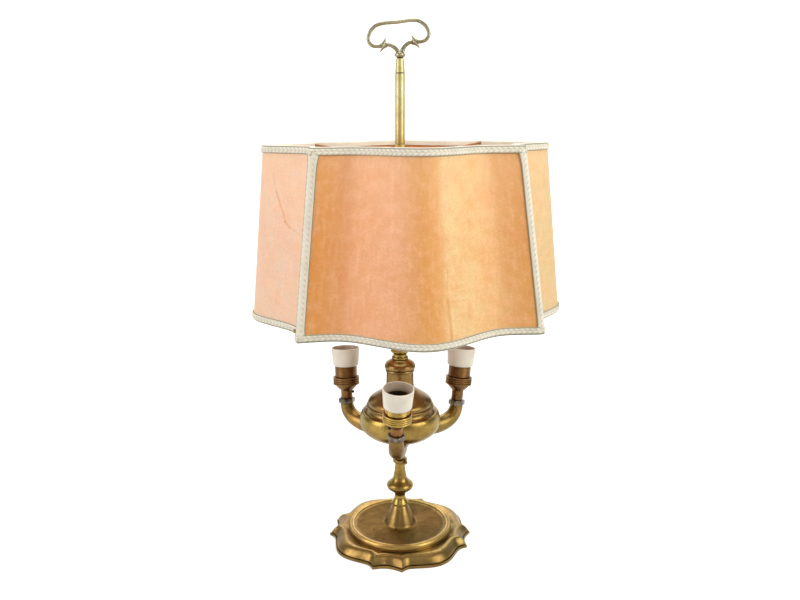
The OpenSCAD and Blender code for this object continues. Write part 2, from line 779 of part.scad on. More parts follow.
module hub_screw() {
    color(old_brass) translate([0, 0, hub_screw_z]) rotate([0, 0, 180])
        side_screw(tube_r + run_gap, sleeve_r + run_gap, screw_r, 3.3, 2.6);
}

// Points of the shade are worked out in its own frame, then leaned, turned and shifted
function about_x(v, a) = [v[0], v[1] * cos(a) - v[2] * sin(a), v[1] * sin(a) + v[2] * cos(a)];
function about_y(v, a) = [v[0] * cos(a) + v[2] * sin(a), v[1], v[2] * cos(a) - v[0] * sin(a)];
function about_z(v, a) = [v[0] * cos(a) - v[1] * sin(a), v[0] * sin(a) + v[1] * cos(a), v[2]];
function shade_at(p) =
    let (pivot = [0, 0, hub_z])
        [shade_shift, 0, hub_z]
            + about_y(about_x(about_z(p - pivot, shade_turn), -shade_lean[0]), -shade_lean[1]);

// Plan line of one panel at the bottom or top (e), outward along its own axis
function panel_bow(u, half, e) =
    let (a = abs(u), w = bulge_half_w[e])
        a < w ? panel_bulge[e] * (1 + cos(180 * a / w)) / 2
        : panel_flare * pow((a - w) / (half - w), 2);
function panel_point(side, k, e) =
    let (
        wide = side % 2 == 0,
        half = wide ? panel_half_w[e] : panel_half_d[e],
        base = wide ? panel_half_d[e] : panel_half_w[e],
        u = lerp(-half, half, k / panel_steps)
    )
        flat(about_z([u, -base - panel_bow(u, half, e), 0], 90 * side));

// Closed plan of the shade at its bottom or top, one corner point at each rib
function plan(e) = [
    for (side = [0 : 3]) for (k = [0 : panel_steps - 1]) panel_point(side, k, e)
];
plan_count = 4 * panel_steps;
function outward(q, k) =
    let (
        a = unit(q[k] - q[(k + plan_count - 1) % plan_count]),
        b = unit(q[(k + 1) % plan_count] - q[k]),
        n = unit([a[1] + b[1], -a[0] - b[0]])
    )
        n / (n * [b[1], -b[0]]);
// Point on the shade's wall: plan index, height share and distance outwards
plan_low = plan(0);
plan_high = plan(1);
function wall_point(k, s, out) =
    let (
        low = plan_low[k % plan_count] + out * outward(plan_low, k % plan_count),
        high = plan_high[k % plan_count] + out * outward(plan_high, k % plan_count),
        p = lerp(low, high, s)
    )
        shade_at([p[0], p[1], rim_top_z - shade_h * (1 - s)]);

module panel(side) {
    first = side * panel_steps;
    trim = 0.04;
    place = [for (k = [0 : panel_steps]) k == 0 ? trim : k == panel_steps ? panel_steps - trim : k];
    color(parchment) skin([
        for (x = place)
            let (k = first + floor(x), t = x - floor(x))
                [
                    for (c = [[0, 0], [0, -parchment_t], [1, -parchment_t], [1, 0]])
                        t == 0 ? wall_point(k, c[0], c[1])
                            : lerp(wall_point(k, c[0], c[1]), wall_point(k + 1, c[0], c[1]), t)
                ]
    ]);
}
module panel_front() { panel(0); }
module panel_right() { panel(1); }
module panel_back() { panel(2); }
module panel_left() { panel(3); }

module rim_wire(s) {
    line = [for (k = [0 : plan_count - 1]) wall_point(k, s, -wire_in)];
    color(steel) skin([
        for (k = [0 : plan_count - 1])
            let (along = line[(k + 1) % plan_count] - line[(k + plan_count - 1) % plan_count])
                path_ring(line[k], along, [0, 0, 1], wire_r, 6)
    ], closed = true);
}
wire_share = (wire_r + 0.5) / shade_h;
module shade_top_wire() { rim_wire(1 - wire_share); }
module shade_bottom_wire() { rim_wire(wire_share); }

module shade_rib_wires() {
    from = wire_share + (2 * wire_r + seat_gap) / shade_h;
    color(steel) for (side = [0 : 3]) {
        k = side * panel_steps;
        bar(wall_point(k, from, -wire_in), wall_point(k, 1 - from, -wire_in), wire_r);
    }
}

// Eye that turns on the sleeve, with a spoke to the top of each rib
module shade_spider() {
    color(steel) difference() {
        union() {
            translate([0, 0, eye_z]) cylinder(r = eye_r, h = eye_h);
            for (side = [0 : 3]) {
                rim = wall_point(side * panel_steps, 1 - wire_share, -wire_in);
                out = unit([rim[0], rim[1], 0]);
                start = out * (eye_bore + 2) + [0, 0, eye_z + eye_h / 2];
                way = unit(rim - start);
                bar(start, rim - way * (2 * wire_r + 4 * run_gap), wire_r);
            }
        }
        translate([0, 0, eye_z - 1]) cylinder(r = eye_bore, h = eye_h + 2);
    }
}

// Braid glued round a rim, between two height shares
module rim_braid(low, high) {
    color(braid_ivory) skin([
        for (k = [0 : plan_count - 1])
            [
                for (c = [[low, braid_out], [low, braid_gap], [high, braid_gap], [high, braid_out]])
                    wall_point(k, c[0], c[1])
            ]
    ], closed = true);
}
rim_share = rim_braid_h / shade_h;
module braid_top() { rim_braid(1 - rim_share, 1); }
module braid_bottom() { rim_braid(0, rim_share); }

// Braid folded over each corner rib, between the two rim braids
module braid_ribs() {
    low = rim_share + run_gap / shade_h;
    color(braid_ivory) for (side = [0 : 3]) skin([
        for (s = [low, 1 - low])
            let (k = side * panel_steps + plan_count)
                concat(
                    rib_edge(k, s, braid_gap, [0, -1]),
                    rib_edge(k, s, braid_out, [-1, 0, 1]),
                    rib_edge(k, s, braid_gap, [1])
                )
    ]);
}
function rib_edge(k, s, out, places) = [
    for (w = places)
        let (c = wall_point(k, s, out), n = wall_point(k + (w < 0 ? plan_count - 1 : 1), s, out))
            w == 0 ? c : c + unit(n - c) * rib_braid_w
];

// Small round-headed stud on the lower braid of the left panel, not far from the front rib
module shade_stud() {
    k = 4 * panel_steps - 4;
    share = 0.36 * rim_share;
    at = lerp(wall_point(k, share, braid_out + run_gap), wall_point(k + 1, share, braid_out + run_gap), 0.5);
    beyond = lerp(wall_point(k, share, braid_out + 5), wall_point(k + 1, share, braid_out + 5), 0.5);
    color(bright_brass) translate(at)
        rotate([0, acos(unit(beyond - at)[2]), atan2(beyond[1] - at[1], beyond[0] - at[0])])
            turned([for (k = [0 : 6]) [2.6 * cos(15 * k), 2.2 * sin(15 * k)], [0, 0]]);
}

module finial_ferrule() {
    z = tube_top_z + run_gap;
    top = z + ferrule_h;
    stub_bore = stub_r + run_fit;
    outline = [
        [stub_bore, z], [tube_r - 0.3, z], [tube_r - 0.2, z + 0.6], [tube_r - 1.1, top - 1.5],
        [tube_r - 1.4, top], [0, top], [0, z + stub_h + 0.5], [stub_bore, z + stub_h]
    ];
    color(bright_brass) turned(outline);
}

module finial_bead() {
    outline = concat(
        [[0, bead_z]],
        [
            for (k = [0 : 10])
                let (a = -68 + 13.6 * k)
                    [bead_r * cos(a), bead_z + bead_h / 2 * (1 + sin(a) / sin(68))]
        ],
        [[0, bead_z + bead_h]]
    );
    color(bright_brass) turned(outline);
}

// Right half of the handle's line: up from the bead, out along the branch, round and in
loop_half = [
    [loop_foot_x, 0], [6.6, 5], [12, 8.3], [18, 8.6], [24.5, 8],
    [loop_half_w - 5, 9], [loop_half_w - 1, 12.6], [loop_half_w, 18], [loop_half_w - 3, 25.4],
    [loop_half_w - 10.4, loop_h - 1.8], [16, loop_h], [6, loop_h - 0.2], [0, loop_h - 0.4]
];
function leaned(x, z) = about_y([x, 0, z], loop_lean) + [0, 0, loop_z];
function branch_r(t) = lerp(loop_wire_r, loop_foot_r, max(0, 1 - t * 4));

module loop_bar(grow) {
    right = spline(loop_half, 3);
    n = len(right) - 1;
    bent = concat(
        [for (k = [0 : n]) leaned(right[k][0], right[k][1])],
        [for (k = [n - 1 : -1 : 0]) leaned(-right[k][0], right[k][1])]
    );
    last = len(bent) - 1;
    line = [
        for (k = [0 : last])
            k == 0 || k == last ? [bent[k][0], 0, bead_z + bead_h + seat_gap] : bent[k]
    ];
    skin([
        for (k = [0 : last])
            let (along = k == 0 || k == last ? [0, 0, k == 0 ? 1 : -1] : heading(line, k))
                path_ring(line[k], along, [0, 1, 0], branch_r(min(k, last - k) / n) + grow, 8)
    ]);
}
module loop_handle() { color(bright_brass) loop_bar(0); }

// Pointed leaves that saddle the branches of the handle, one up and one down on each side
module handle_leaves() {
    base_r = loop_wire_r * 1.05;
    sunk = loop_wire_r * 0.6;
    color(bright_brass) for (mx = [-1, 1]) {
        up = leaned(mx * 19, 8.6 + sunk);
        up_tip = leaned(mx * 15.6, 16.6);
        down = leaned(mx * 18.6, 8.6 - sunk);
        down_tip = leaned(mx * 23.6, 0.8);
        for (leaf = [[up, up_tip], [down, down_tip]])
            difference() {
                translate(leaf[0])
                    rotate([0, atan2(leaf[1][0] - leaf[0][0], leaf[1][2] - leaf[0][2]), 0])
                        cylinder(r1 = base_r, r2 = 0.3, h = norm(leaf[1] - leaf[0]));
                loop_bar(seat_gap);
            }
    }
}

foot_ring();
foot_dish();
foot_washer();
foot_nut();
tie_rod();
stem();
stop_collar();
stop_screw();
column_tube();
font_bowl();
font_shoulder();
font_chimney();
font_cap();
font_bell();
terminal_ring();
arm_front();
arm_right();
arm_left();
arm_leads();
arm_nuts();
arm_nipples();
holder_cap_front();
holder_cap_right();
holder_cap_left();
holder_band_front();
holder_band_right();
holder_band_left();
holder_shell_front();
holder_shell_right();
holder_shell_left();
holder_core_front();
holder_core_right();
holder_core_left();
holder_contacts();
holder_screws();
shade_ring_front();
shade_ring_right();
shade_ring_left();
hub_sleeve();
hub_screw();
shade_spider();
shade_top_wire();
shade_bottom_wire();
shade_rib_wires();
panel_front();
panel_right();
panel_back();
panel_left();
braid_top();
braid_bottom();
braid_ribs();
shade_stud();
finial_ferrule();
finial_bead();
loop_handle();
handle_leaves();
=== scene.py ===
"""Three-armed brass table lamp with a bracket-sided parchment shade.

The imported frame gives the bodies; this file makes the finished pieces that ride on them,
their finishes, the studio and the camera. Outlines are written in millimetres.
"""

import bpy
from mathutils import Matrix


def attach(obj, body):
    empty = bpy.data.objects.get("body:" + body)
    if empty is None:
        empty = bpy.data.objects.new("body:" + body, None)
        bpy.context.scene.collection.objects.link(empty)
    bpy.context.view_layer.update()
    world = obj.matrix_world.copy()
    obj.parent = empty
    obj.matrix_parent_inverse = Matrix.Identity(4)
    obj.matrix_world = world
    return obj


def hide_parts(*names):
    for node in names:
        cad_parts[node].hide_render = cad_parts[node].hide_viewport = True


bl_info = {
    "name": "Brass table lamp",
    "version": (1, 0, 0),
    "blender": (4, 5, 0),
    "location": "View3D > Sidebar > Lamp",
    "description": "Builds a three-armed brass table lamp with a bracket-sided shade",
    "category": "Object",
}

from math import cos, degrees, pi, radians, sin, sqrt

import bmesh
import bpy
from mathutils import Matrix, Vector

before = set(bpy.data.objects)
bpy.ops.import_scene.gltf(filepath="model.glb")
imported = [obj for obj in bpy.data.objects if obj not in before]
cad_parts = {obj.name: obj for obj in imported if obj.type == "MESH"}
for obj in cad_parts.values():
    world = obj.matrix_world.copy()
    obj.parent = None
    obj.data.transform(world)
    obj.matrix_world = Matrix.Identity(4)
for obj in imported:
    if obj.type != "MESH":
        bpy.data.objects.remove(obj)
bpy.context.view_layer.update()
MM = 0.001


# Curves and outlines, in millimetres


def lerp(a, b, t):
    return a + (b - a) * t


def bez(points, n):
    """Cubic curve through four control points."""
    out = []
    for k in range(n + 1):
        t = k / n
        s = 1 - t
        w = (s**3, 3 * s * s * t, 3 * s * t * t, t**3)
        out.append(tuple(sum(w[i] * p[c] for i, p in enumerate(points)) for c in range(len(points[0]))))
    return out


def spline(points, n):
    """Smooth curve through a row of points."""

    def between(p, q, r, s, t):
        square, cube = 2 * p - 5 * q + 4 * r - s, 3 * q - p - 3 * r + s
        return (2 * q + (r - p) * t + square * t * t + cube * t**3) / 2

    out = []
    for i in range(len(points) - 1):
        a, b = points[max(i - 1, 0)], points[i]
        c, d = points[i + 1], points[min(i + 2, len(points) - 1)]
        out += [tuple(between(*row, k / n) for row in zip(a, b, c, d)) for k in range(n)]
    return out + [tuple(points[-1])]


def quarter(n):
    """Angles of a quarter turn."""
    return [pi / 2 * k / n for k in range(n + 1)]


def round_in(a, b, n):
    """Quarter round that leaves its first point level and ends upright."""
    return [(lerp(a[0], b[0], sin(t)), lerp(b[1], a[1], cos(t))) for t in quarter(n)]


def bulge(r, z, out, up, n, start=-90, end=90):
    """Part of an ellipse on a turned outline, from below to above its centre."""
    turns = [radians(lerp(start, end, k / n)) for k in range(n + 1)]
    return [(r + out * cos(t), z + up * sin(t)) for t in turns]


def soften(outline, size, limit=25):
    """Rounds the corners of a closed outline that turn by more than the limit, in degrees."""
    out, tiny, on_axis, most = [], 1e-6, 1e-4, 0.45
    for i, p in enumerate(outline):
        p = Vector(p)
        a = Vector(outline[i - 1]) - p
        b = Vector(outline[(i + 1) % len(outline)]) - p
        if a.length < tiny or b.length < tiny:
            continue
        if degrees(pi - a.angle(b)) < limit or p.x < on_axis:
            out.append(tuple(p))
            continue
        reach = min(size, a.length * most, b.length * most)
        start, end = p + a.normalized() * reach, p + b.normalized() * reach
        for t in (0, 1 / 3, 2 / 3, 1.0):
            out.append(tuple(start * (1 - t) ** 2 + p * 2 * t * (1 - t) + end * t * t))
    return out


# Meshes


def add_object(name, mesh):
    obj = bpy.data.objects.new(name, mesh)
    bpy.context.scene.collection.objects.link(obj)
    return obj


def close_mesh(name, bm, sharp):
    """Plain mesh with merged points, outward faces and edges that are sharp past an angle."""
    bmesh.ops.remove_doubles(bm, verts=bm.verts, dist=1e-7)
    bmesh.ops.recalc_face_normals(bm, faces=bm.faces)
    mesh = bpy.data.meshes.new(name)
    bm.to_mesh(mesh)
    bm.free()
    mesh.polygons.foreach_set("use_smooth", [True] * len(mesh.polygons))
    mesh.set_sharp_from_angle(angle=radians(sharp))
    return mesh


def store(mesh, name, values):
    """Keeps a number or a vector on every point of a mesh."""
    if isinstance(values[0], float):
        mesh.attributes.new(name, "FLOAT", "POINT").data.foreach_set("value", values)
    else:
        flat = [c for v in values for c in v]
        mesh.attributes.new(name, "FLOAT_VECTOR", "POINT").data.foreach_set("vector", flat)


def keep_axes(mesh):
    store(mesh, "local", [v.co.copy() for v in mesh.vertices])


def formed(name, bm, sharp, place=None):
    """Piece that keeps its own axes in an attribute before it goes to its place."""
    mesh = close_mesh(name, bm, sharp)
    keep_axes(mesh)
    if place:
        mesh.transform(place)
    return add_object(name, mesh)


def turned(name, outline, steps, place=None, edge=0.25):
    """Piece turned about Z from a closed outline, with its corners rounded by the edge."""
    outline = soften(outline, edge) if edge else outline
    bm = bmesh.new()
    turns = [2 * pi * j / steps for j in range(steps)]
    rings = []
    for r, z in outline:
        if r < 1e-4:
            rings.append([bm.verts.new((0, 0, z * MM))] * steps)
        else:
            rings.append([bm.verts.new((r * MM * cos(t), r * MM * sin(t), z * MM)) for t in turns])
    for ring, above in zip(rings, rings[1:] + rings[:1]):
        for j in range(steps):
            k = (j + 1) % steps
            corners = list(dict.fromkeys((ring[j], ring[k], above[k], above[j])))
            if len(corners) > 2:
                bm.faces.new(corners)
    return formed(name, bm, 38, place)


def skin(bm, rings, closed=False):
    """Faces over rows of points given in metres, with an end face on an open skin."""
    rows = [[bm.verts.new(p) for p in ring] for ring in rings]
    count = len(rows[0])
    for a, b in zip(rows, rows[1:] + rows[:1] if closed else rows[1:]):
        for j in range(count):
            k = (j + 1) % count
            bm.faces.new((a[j], a[k], b[k], b[j]))
    if not closed:
        bm.faces.new(list(reversed(rows[0])))
        bm.faces.new(rows[-1])


def skinned(name, rings, closed=False, sharp=60):
    bm = bmesh.new()
    skin(bm, rings, closed)
    return formed(name, bm, sharp)


def line_object(name, lines, closed=False, **values):
    """Open or closed rows of points with values on them, for the node trees."""
    mesh = bpy.data.meshes.new(name)
    points, edges = [], []
    for line in lines:
        first = len(points)
        points += [tuple(p) for p in line]
        edges += [(first + i, first + i + 1) for i in range(len(line) - 1)]
        if closed:
            edges.append((len(points) - 1, first))
    mesh.from_pydata(points, edges, [])
    for key, data in values.items():
        store(mesh, key, data)
    return add_object(name, mesh)


def joined(name, objects):
    """One piece from several meshes."""
    first = objects[0]
    with bpy.context.temp_override(
        active_object=first, object=first, selected_objects=objects, selected_editable_objects=objects
    ):
        bpy.ops.object.join()
    first.name = name
    first.data.name = name
    return first


# Node trees


class Tree:
    """Adds nodes to a tree: a plain value is set on a socket, a socket is linked to it."""

    def __init__(self, tree):
        self.tree = tree

    def put(self, socket, value):
        if isinstance(value, bpy.types.NodeSocket):
            self.tree.links.new(value, socket)
        else:
            socket.default_value = value

    def add(self, kind, *row, props=None, **named):
        node = self.tree.nodes.new(kind)
        for key, value in (props or {}).items():
            setattr(node, key, value)
        sockets = {key.replace("_", " "): value for key, value in named.items()}
        for key, value in [*enumerate(row), *sockets.items()]:
            if value is not None:
                self.put(node.inputs[key], value)
        return node

    def math(self, kind, a, b=None):
        return self.add("ShaderNodeMath", a, b, props={"operation": kind}).outputs[0]

    def vector(self, kind, a, b=None, scale=None):
        node = self.add("ShaderNodeVectorMath", a, b, props={"operation": kind}, Scale=scale)
        return node.outputs["Value" if kind in ("LENGTH", "DOT_PRODUCT", "DISTANCE") else "Vector"]

    def xyz(self, x=None, y=None, z=None):
        return self.add("ShaderNodeCombineXYZ", x, y, z).outputs[0]

    def parts(self, vector):
        return self.add("ShaderNodeSeparateXYZ", vector).outputs

    def on_point(self, name, kind="FLOAT_VECTOR"):
        """Value that a line object keeps on its points."""
        return self.add("GeometryNodeInputNamedAttribute", name, props={"data_type": kind}).outputs[0]

    def turn(self, facing, along):
        """Rotation that lays Z and X on two directions."""
        axes = {"primary_axis": "Z", "secondary_axis": "X"}
        return self.add("FunctionNodeAxesToRotation", facing, along, props=axes).outputs[0]

    def copies(self, points, source, rotation):
        shape = self.add("GeometryNodeObjectInfo", source).outputs["Geometry"]
        node = self.add("GeometryNodeInstanceOnPoints", Points=points, Instance=shape, Rotation=rotation)
        return node.outputs[0]


def node_tree(name, **sockets):
    """Empty tree with named inputs; a material comes last."""
    tree = bpy.data.node_groups.new(name, "GeometryNodeTree")
    for label, kind in {"Geometry": "Geometry", **sockets, "Material": "Material"}.items():
        tree.interface.new_socket(label, in_out="INPUT", socket_type="NodeSocket" + kind)
    tree.interface.new_socket("Geometry", in_out="OUTPUT", socket_type="NodeSocketGeometry")
    t = Tree(tree)
    return t, t.add("NodeGroupInput").outputs


def end_tree(t, geometry, material):
    real = t.add("GeometryNodeRealizeInstances", geometry).outputs[0]
    dressed = t.add("GeometryNodeSetMaterial", Geometry=real, Material=material).outputs[0]
    t.add("NodeGroupOutput", dressed)
    return t.tree


def rod_tree():
    """Round bar along each line, as thick as the line's own radius value."""
    t, put = node_tree("Bar along a line", Sides="Int")
    curve = t.add("GeometryNodeMeshToCurve", put["Geometry"]).outputs[0]
    ring = t.add("GeometryNodeCurvePrimitiveCircle", Resolution=put["Sides"], Radius=1.0).outputs[0]
    bar = t.add("GeometryNodeCurveToMesh", curve, ring, t.on_point("radius", "FLOAT"), True).outputs[0]
    return end_tree(t, t.add("GeometryNodeSetShadeSmooth", bar).outputs[0], put["Material"])


def copies_tree():
    """A copy of one source piece on every point, turned to the point's own directions."""
    t, put = node_tree("Copies on points", Source="Object")
    turn = t.turn(t.on_point("facing"), t.on_point("along"))
    return end_tree(t, t.copies(put["Geometry"], put["Source"], turn), put["Material"])


def plait_tree():
    """Row of slanting strands along each line; every third one has the second tone."""
    t, put = node_tree("Plait along a line", Pitch="Float", Slant="Float", Source="Object")
    curve = t.add("GeometryNodeMeshToCurve", put["Geometry"]).outputs[0]
    even = t.add("GeometryNodeResampleCurve", props={"mode": "LENGTH"}, Curve=curve, Length=put["Pitch"])
    index = t.add("GeometryNodeInputIndex").outputs[0]
    third = t.math("LESS_THAN", t.math("MODULO", index, 3.0), 0.5)
    kind = {"data_type": "FLOAT", "domain": "POINT"}
    toned = t.add(
        "GeometryNodeStoreNamedAttribute", props=kind, Geometry=even.outputs[0], Name="tone", Value=third
    )
    turn = t.turn(t.on_point("facing"), t.add("GeometryNodeInputTangent").outputs[0])
    slant = t.xyz(z=t.math("MULTIPLY", t.on_point("lean", "FLOAT"), put["Slant"]))
    tilt = t.add("FunctionNodeEulerToRotation", slant).outputs[0]
    both = t.add("FunctionNodeRotateRotation", turn, tilt, props={"rotation_space": "LOCAL"}).outputs[0]
    return end_tree(t, t.copies(toned.outputs[0], put["Source"], both), put["Material"])


MAKERS = {"bar": rod_tree, "copies": copies_tree, "plait": plait_tree}
TREES = {}


def grown(name, lines, tree, **inputs):
    """Runs a node tree on a line object and keeps the result as a plain mesh."""
    if tree not in TREES:
        TREES[tree] = MAKERS[tree]()
    modifier = lines.modifiers.new(tree, "NODES")
    modifier.node_group = TREES[tree]
    for item in TREES[tree].interface.items_tree:
        if item.in_out == "INPUT" and item.name in inputs:
            modifier[item.identifier] = inputs[item.name]
    bpy.context.view_layer.update()
    mesh = bpy.data.meshes.new_from_object(lines.evaluated_get(bpy.context.evaluated_depsgraph_get()))
    lines.modifiers.remove(modifier)
    bpy.data.objects.remove(lines)
    mesh.name = name
    if "local" not in mesh.attributes:
        keep_axes(mesh)
    return add_object(name, mesh)


# Finishes


FINISHES = {}


def finish_tree(name):
    material = bpy.data.materials.new(name)
    material.use_nodes = True
    material.node_tree.nodes.clear()
    FINISHES[name] = material
    t = Tree(material.node_tree)
    shader = t.add("ShaderNodeBsdfPrincipled")
    return t, shader, t.add("ShaderNodeOutputMaterial", Surface=shader.outputs[0])


def feed(t, shader, **sockets):
    for key, value in sockets.items():
        t.put(shader.inputs[key.replace("_", " ")], value)


def object_axes(t):
    return t.add("ShaderNodeTexCoord").outputs["Object"]


def kept(t, name, output):
    return t.add("ShaderNodeAttribute", props={"attribute_name": name}).outputs[output]


def own_axes(t, cad):
    """A piece of the frame reads Object coordinates, a finished one the axes it was made on."""
    return object_axes(t) if cad else kept(t, "local", "Vector")


def tint(colour, share):
    return tuple(c * share for c in colour)


def noise(t, vector, scale, detail=4.0, rough=0.55):
    return t.add("ShaderNodeTexNoise", Vector=vector, Scale=scale, Detail=detail, Roughness=rough).outputs[0]


def ramp(t, value, *stops):
    node = t.add("ShaderNodeValToRGB", value)
    marks = node.color_ramp.elements
    while len(marks) < len(stops):
        marks.new(0.5)
    for mark, (place, colour) in zip(marks, stops):
        mark.position = place
        mark.color = (*colour, 1) if isinstance(colour, tuple) else (colour, colour, colour, 1)
    return node.outputs[0]


def mix(t, share, a, b, kind="MIX"):
    node = t.add("ShaderNodeMix", props={"data_type": "RGBA", "blend_type": kind})
    t.put(node.inputs[0], share)
    for socket, value in ((node.inputs[6], a), (node.inputs[7], b)):
        t.put(socket, (*value, 1) if isinstance(value, tuple) else value)
    return node.outputs[2]


def span(t, value, low, high, to_low, to_high):
    return t.add("ShaderNodeMapRange", value, low, high, to_low, to_high).outputs[0]


def weighed(t, a, b, share):
    return t.math("ADD", t.math("MULTIPLY", a, share), t.math("MULTIPLY", b, 1 - share))


def bump(t, height, strength, distance, normal=None):
    node = t.add("ShaderNodeBump", Height=height, Strength=strength, Distance=distance, Normal=normal)
    return node.outputs[0]


def soil_and_shade_in_corners(t, colour, soil_and_shade, distance, low, high, most, samples=8):
    """Darkens corners, partly soil and partly painted shade: how far they reach, the openness between which
    it fades and its most.
    """
    # closeness of nearby surfaces darkens the colour: painted shade, with some soil
    corner = t.add("ShaderNodeAmbientOcclusion", props={"samples": samples}, Distance=distance).outputs["AO"]
    return mix(t, span(t, corner, low, high, most, 0.0), colour, soil_and_shade)


def metal(
    name,
    light,
    dark,
    rough=(0.22, 0.42),
    cad=False,
    soil_and_shade=0.8,
    pits=0.25,
    tooling=0.12,
    tarnish=(0.42, 0.68),
    green=0.0,
    lumps=0.12,
    marks=(),
    floor=None,
    seam=None,
    rim=None,
    low=None,
):
    """Old lathe-turned metal: tarnish, green patches, corners darkened by soil and painted shade, tooling
    lines and pits.

    Marks are places of dark spots and seam is the height of a dark joint. Floor is the radii between which
    the metal is dull and darker, partly its patina and partly a painted dark reflection; rim is the radius
    past which a painted highlight brightens it, and low the heights over which a painted reflection fades
    out.
    """
    t, shader, _ = finish_tree(name)
    axes = own_axes(t, cad)
    clouds = noise(t, axes, 26, 5, 0.6)
    spots = noise(t, axes, 190, 6, 0.65)
    grain = noise(t, axes, 1500, 3, 0.6)
    share = ramp(t, weighed(t, clouds, spots, 0.72), (tarnish[0], 0.0), (tarnish[1], 1.0))
    colour = mix(t, share, light, dark)
    if green:
        patch = ramp(t, noise(t, axes, 17, 3, 0.5), (0.5, 0.0), (0.66, green))
        colour = mix(t, patch, colour, (light[0] * 0.62, light[1] * 0.86, light[2] * 0.8))
    # Wide and fine darkening of corners: partly soil, partly painted shade
    colour = soil_and_shade_in_corners(t, colour, tint(dark, 0.28), 0.007, 0.35, 0.85, soil_and_shade)
    colour = soil_and_shade_in_corners(t, colour, tint(dark, 0.3), 0.0012, 0.5, 0.95, 0.85, samples=6)
    for place in marks:
        near = span(t, t.vector("DISTANCE", axes, place), 0.0008, 0.0022, 0.8, 0.0)
        colour = mix(t, near, colour, tint(dark, 0.25))
    part = t.parts(axes)
    reach = t.vector("LENGTH", t.xyz(part[0], part[1]))
    dull = span(t, weighed(t, share, spots, 0.5), 0.1, 0.8, *rough)
    # Duller, darker dish floor: partly its patina, partly a painted dark reflection
    if floor:
        start, full, end, tone = floor
        inside = span(t, reach, end - 0.004, end, 1.0, 0.0)
        flat = t.math("MULTIPLY", span(t, reach, start, full, 0.0, 1.0), inside)
        colour = mix(t, flat, colour, tone, "MULTIPLY")
        dull = t.math("ADD", dull, t.math("MULTIPLY", flat, 0.32))
    if seam:
        off = t.math("ABSOLUTE", t.math("SUBTRACT", part[2], seam))
        colour = mix(t, span(t, off, 0.0003, 0.0011, 0.75, 0.0), colour, tint(dark, 0.25))
    # Painted highlight: the metal is brighter past a radius
    if rim:
        colour = mix(t, span(t, reach, rim[0], rim[0] + 0.0012, 0.0, 1.0), colour, rim[1], "MULTIPLY")
    # Painted reflection: a darker orange tint below a height, fading out above it
    if low:
        colour = mix(t, span(t, part[2], low[0], low[1], 1.0, 0.0), colour, low[2], "MULTIPLY")
    lined = bump(t, noise(t, t.xyz(reach, part[2]), 1800, 2, 0.5), tooling, 0.0003)
    dented = bump(t, grain, pits, 0.0002, lined)
    normal = bump(t, spots, lumps, 0.0008, dented)
    feed(t, shader, Metallic=1.0, Base_Color=colour, Roughness=dull, Normal=normal)


def glaze(name, light, dark, rough, cad=False):
    """Moulded or glazed white ware with faint clouding and specks."""
    t, shader, _ = finish_tree(name)
    axes = own_axes(t, cad)
    clouds = noise(t, axes, 60, 4, 0.5)
    specks = noise(t, axes, 600, 2, 0.5)
    colour = mix(t, ramp(t, clouds, (0.4, 0.0), (0.75, 1.0)), light, dark)
    colour = mix(t, ramp(t, specks, (0.68, 0.0), (0.8, 0.35)), colour, tint(dark, 0.6))
    # Taupe darkening in recesses: painted shade, with some soil
    colour = soil_and_shade_in_corners(t, colour, (0.20, 0.13, 0.085), 0.02, 0.15, 0.75, 0.8)
    dull = span(t, clouds, 0.3, 0.7, rough, rough + 0.15)
    feed(t, shader, Base_Color=colour, Roughness=dull, Normal=bump(t, specks, 0.04, 0.0003))
    feed(t, shader, Coat_Weight=0.3, Coat_Roughness=0.2)


def sheathing(name, colour):
    """Dull black cover of a lead."""
    t, shader, _ = finish_tree(name)
    fine = noise(t, object_axes(t), 900, 4, 0.6)
    tone, dull = mix(t, fine, colour, tint(colour, 2.2)), span(t, fine, 0.2, 0.8, 0.5, 0.75)
    feed(t, shader, Base_Color=tone, Roughness=dull, Normal=bump(t, fine, 0.15, 0.0003))


def crack(t, place, a, b, width):
    """Closeness to a line between two points of the panel, 1 on the line and 0 beside it."""
    a, b = Vector((*a, 0)), Vector((*b, 0))
    d = b - a
    away = t.vector("SUBTRACT", place, tuple(a))
    along = t.math("DIVIDE", t.vector("DOT_PRODUCT", away, tuple(d)), d.length_squared)
    foot = t.vector("SCALE", tuple(d), scale=t.add("ShaderNodeClamp", along).outputs[0])
    return span(t, t.vector("DISTANCE", away, foot), 0.0, width, 1.0, 0.0)


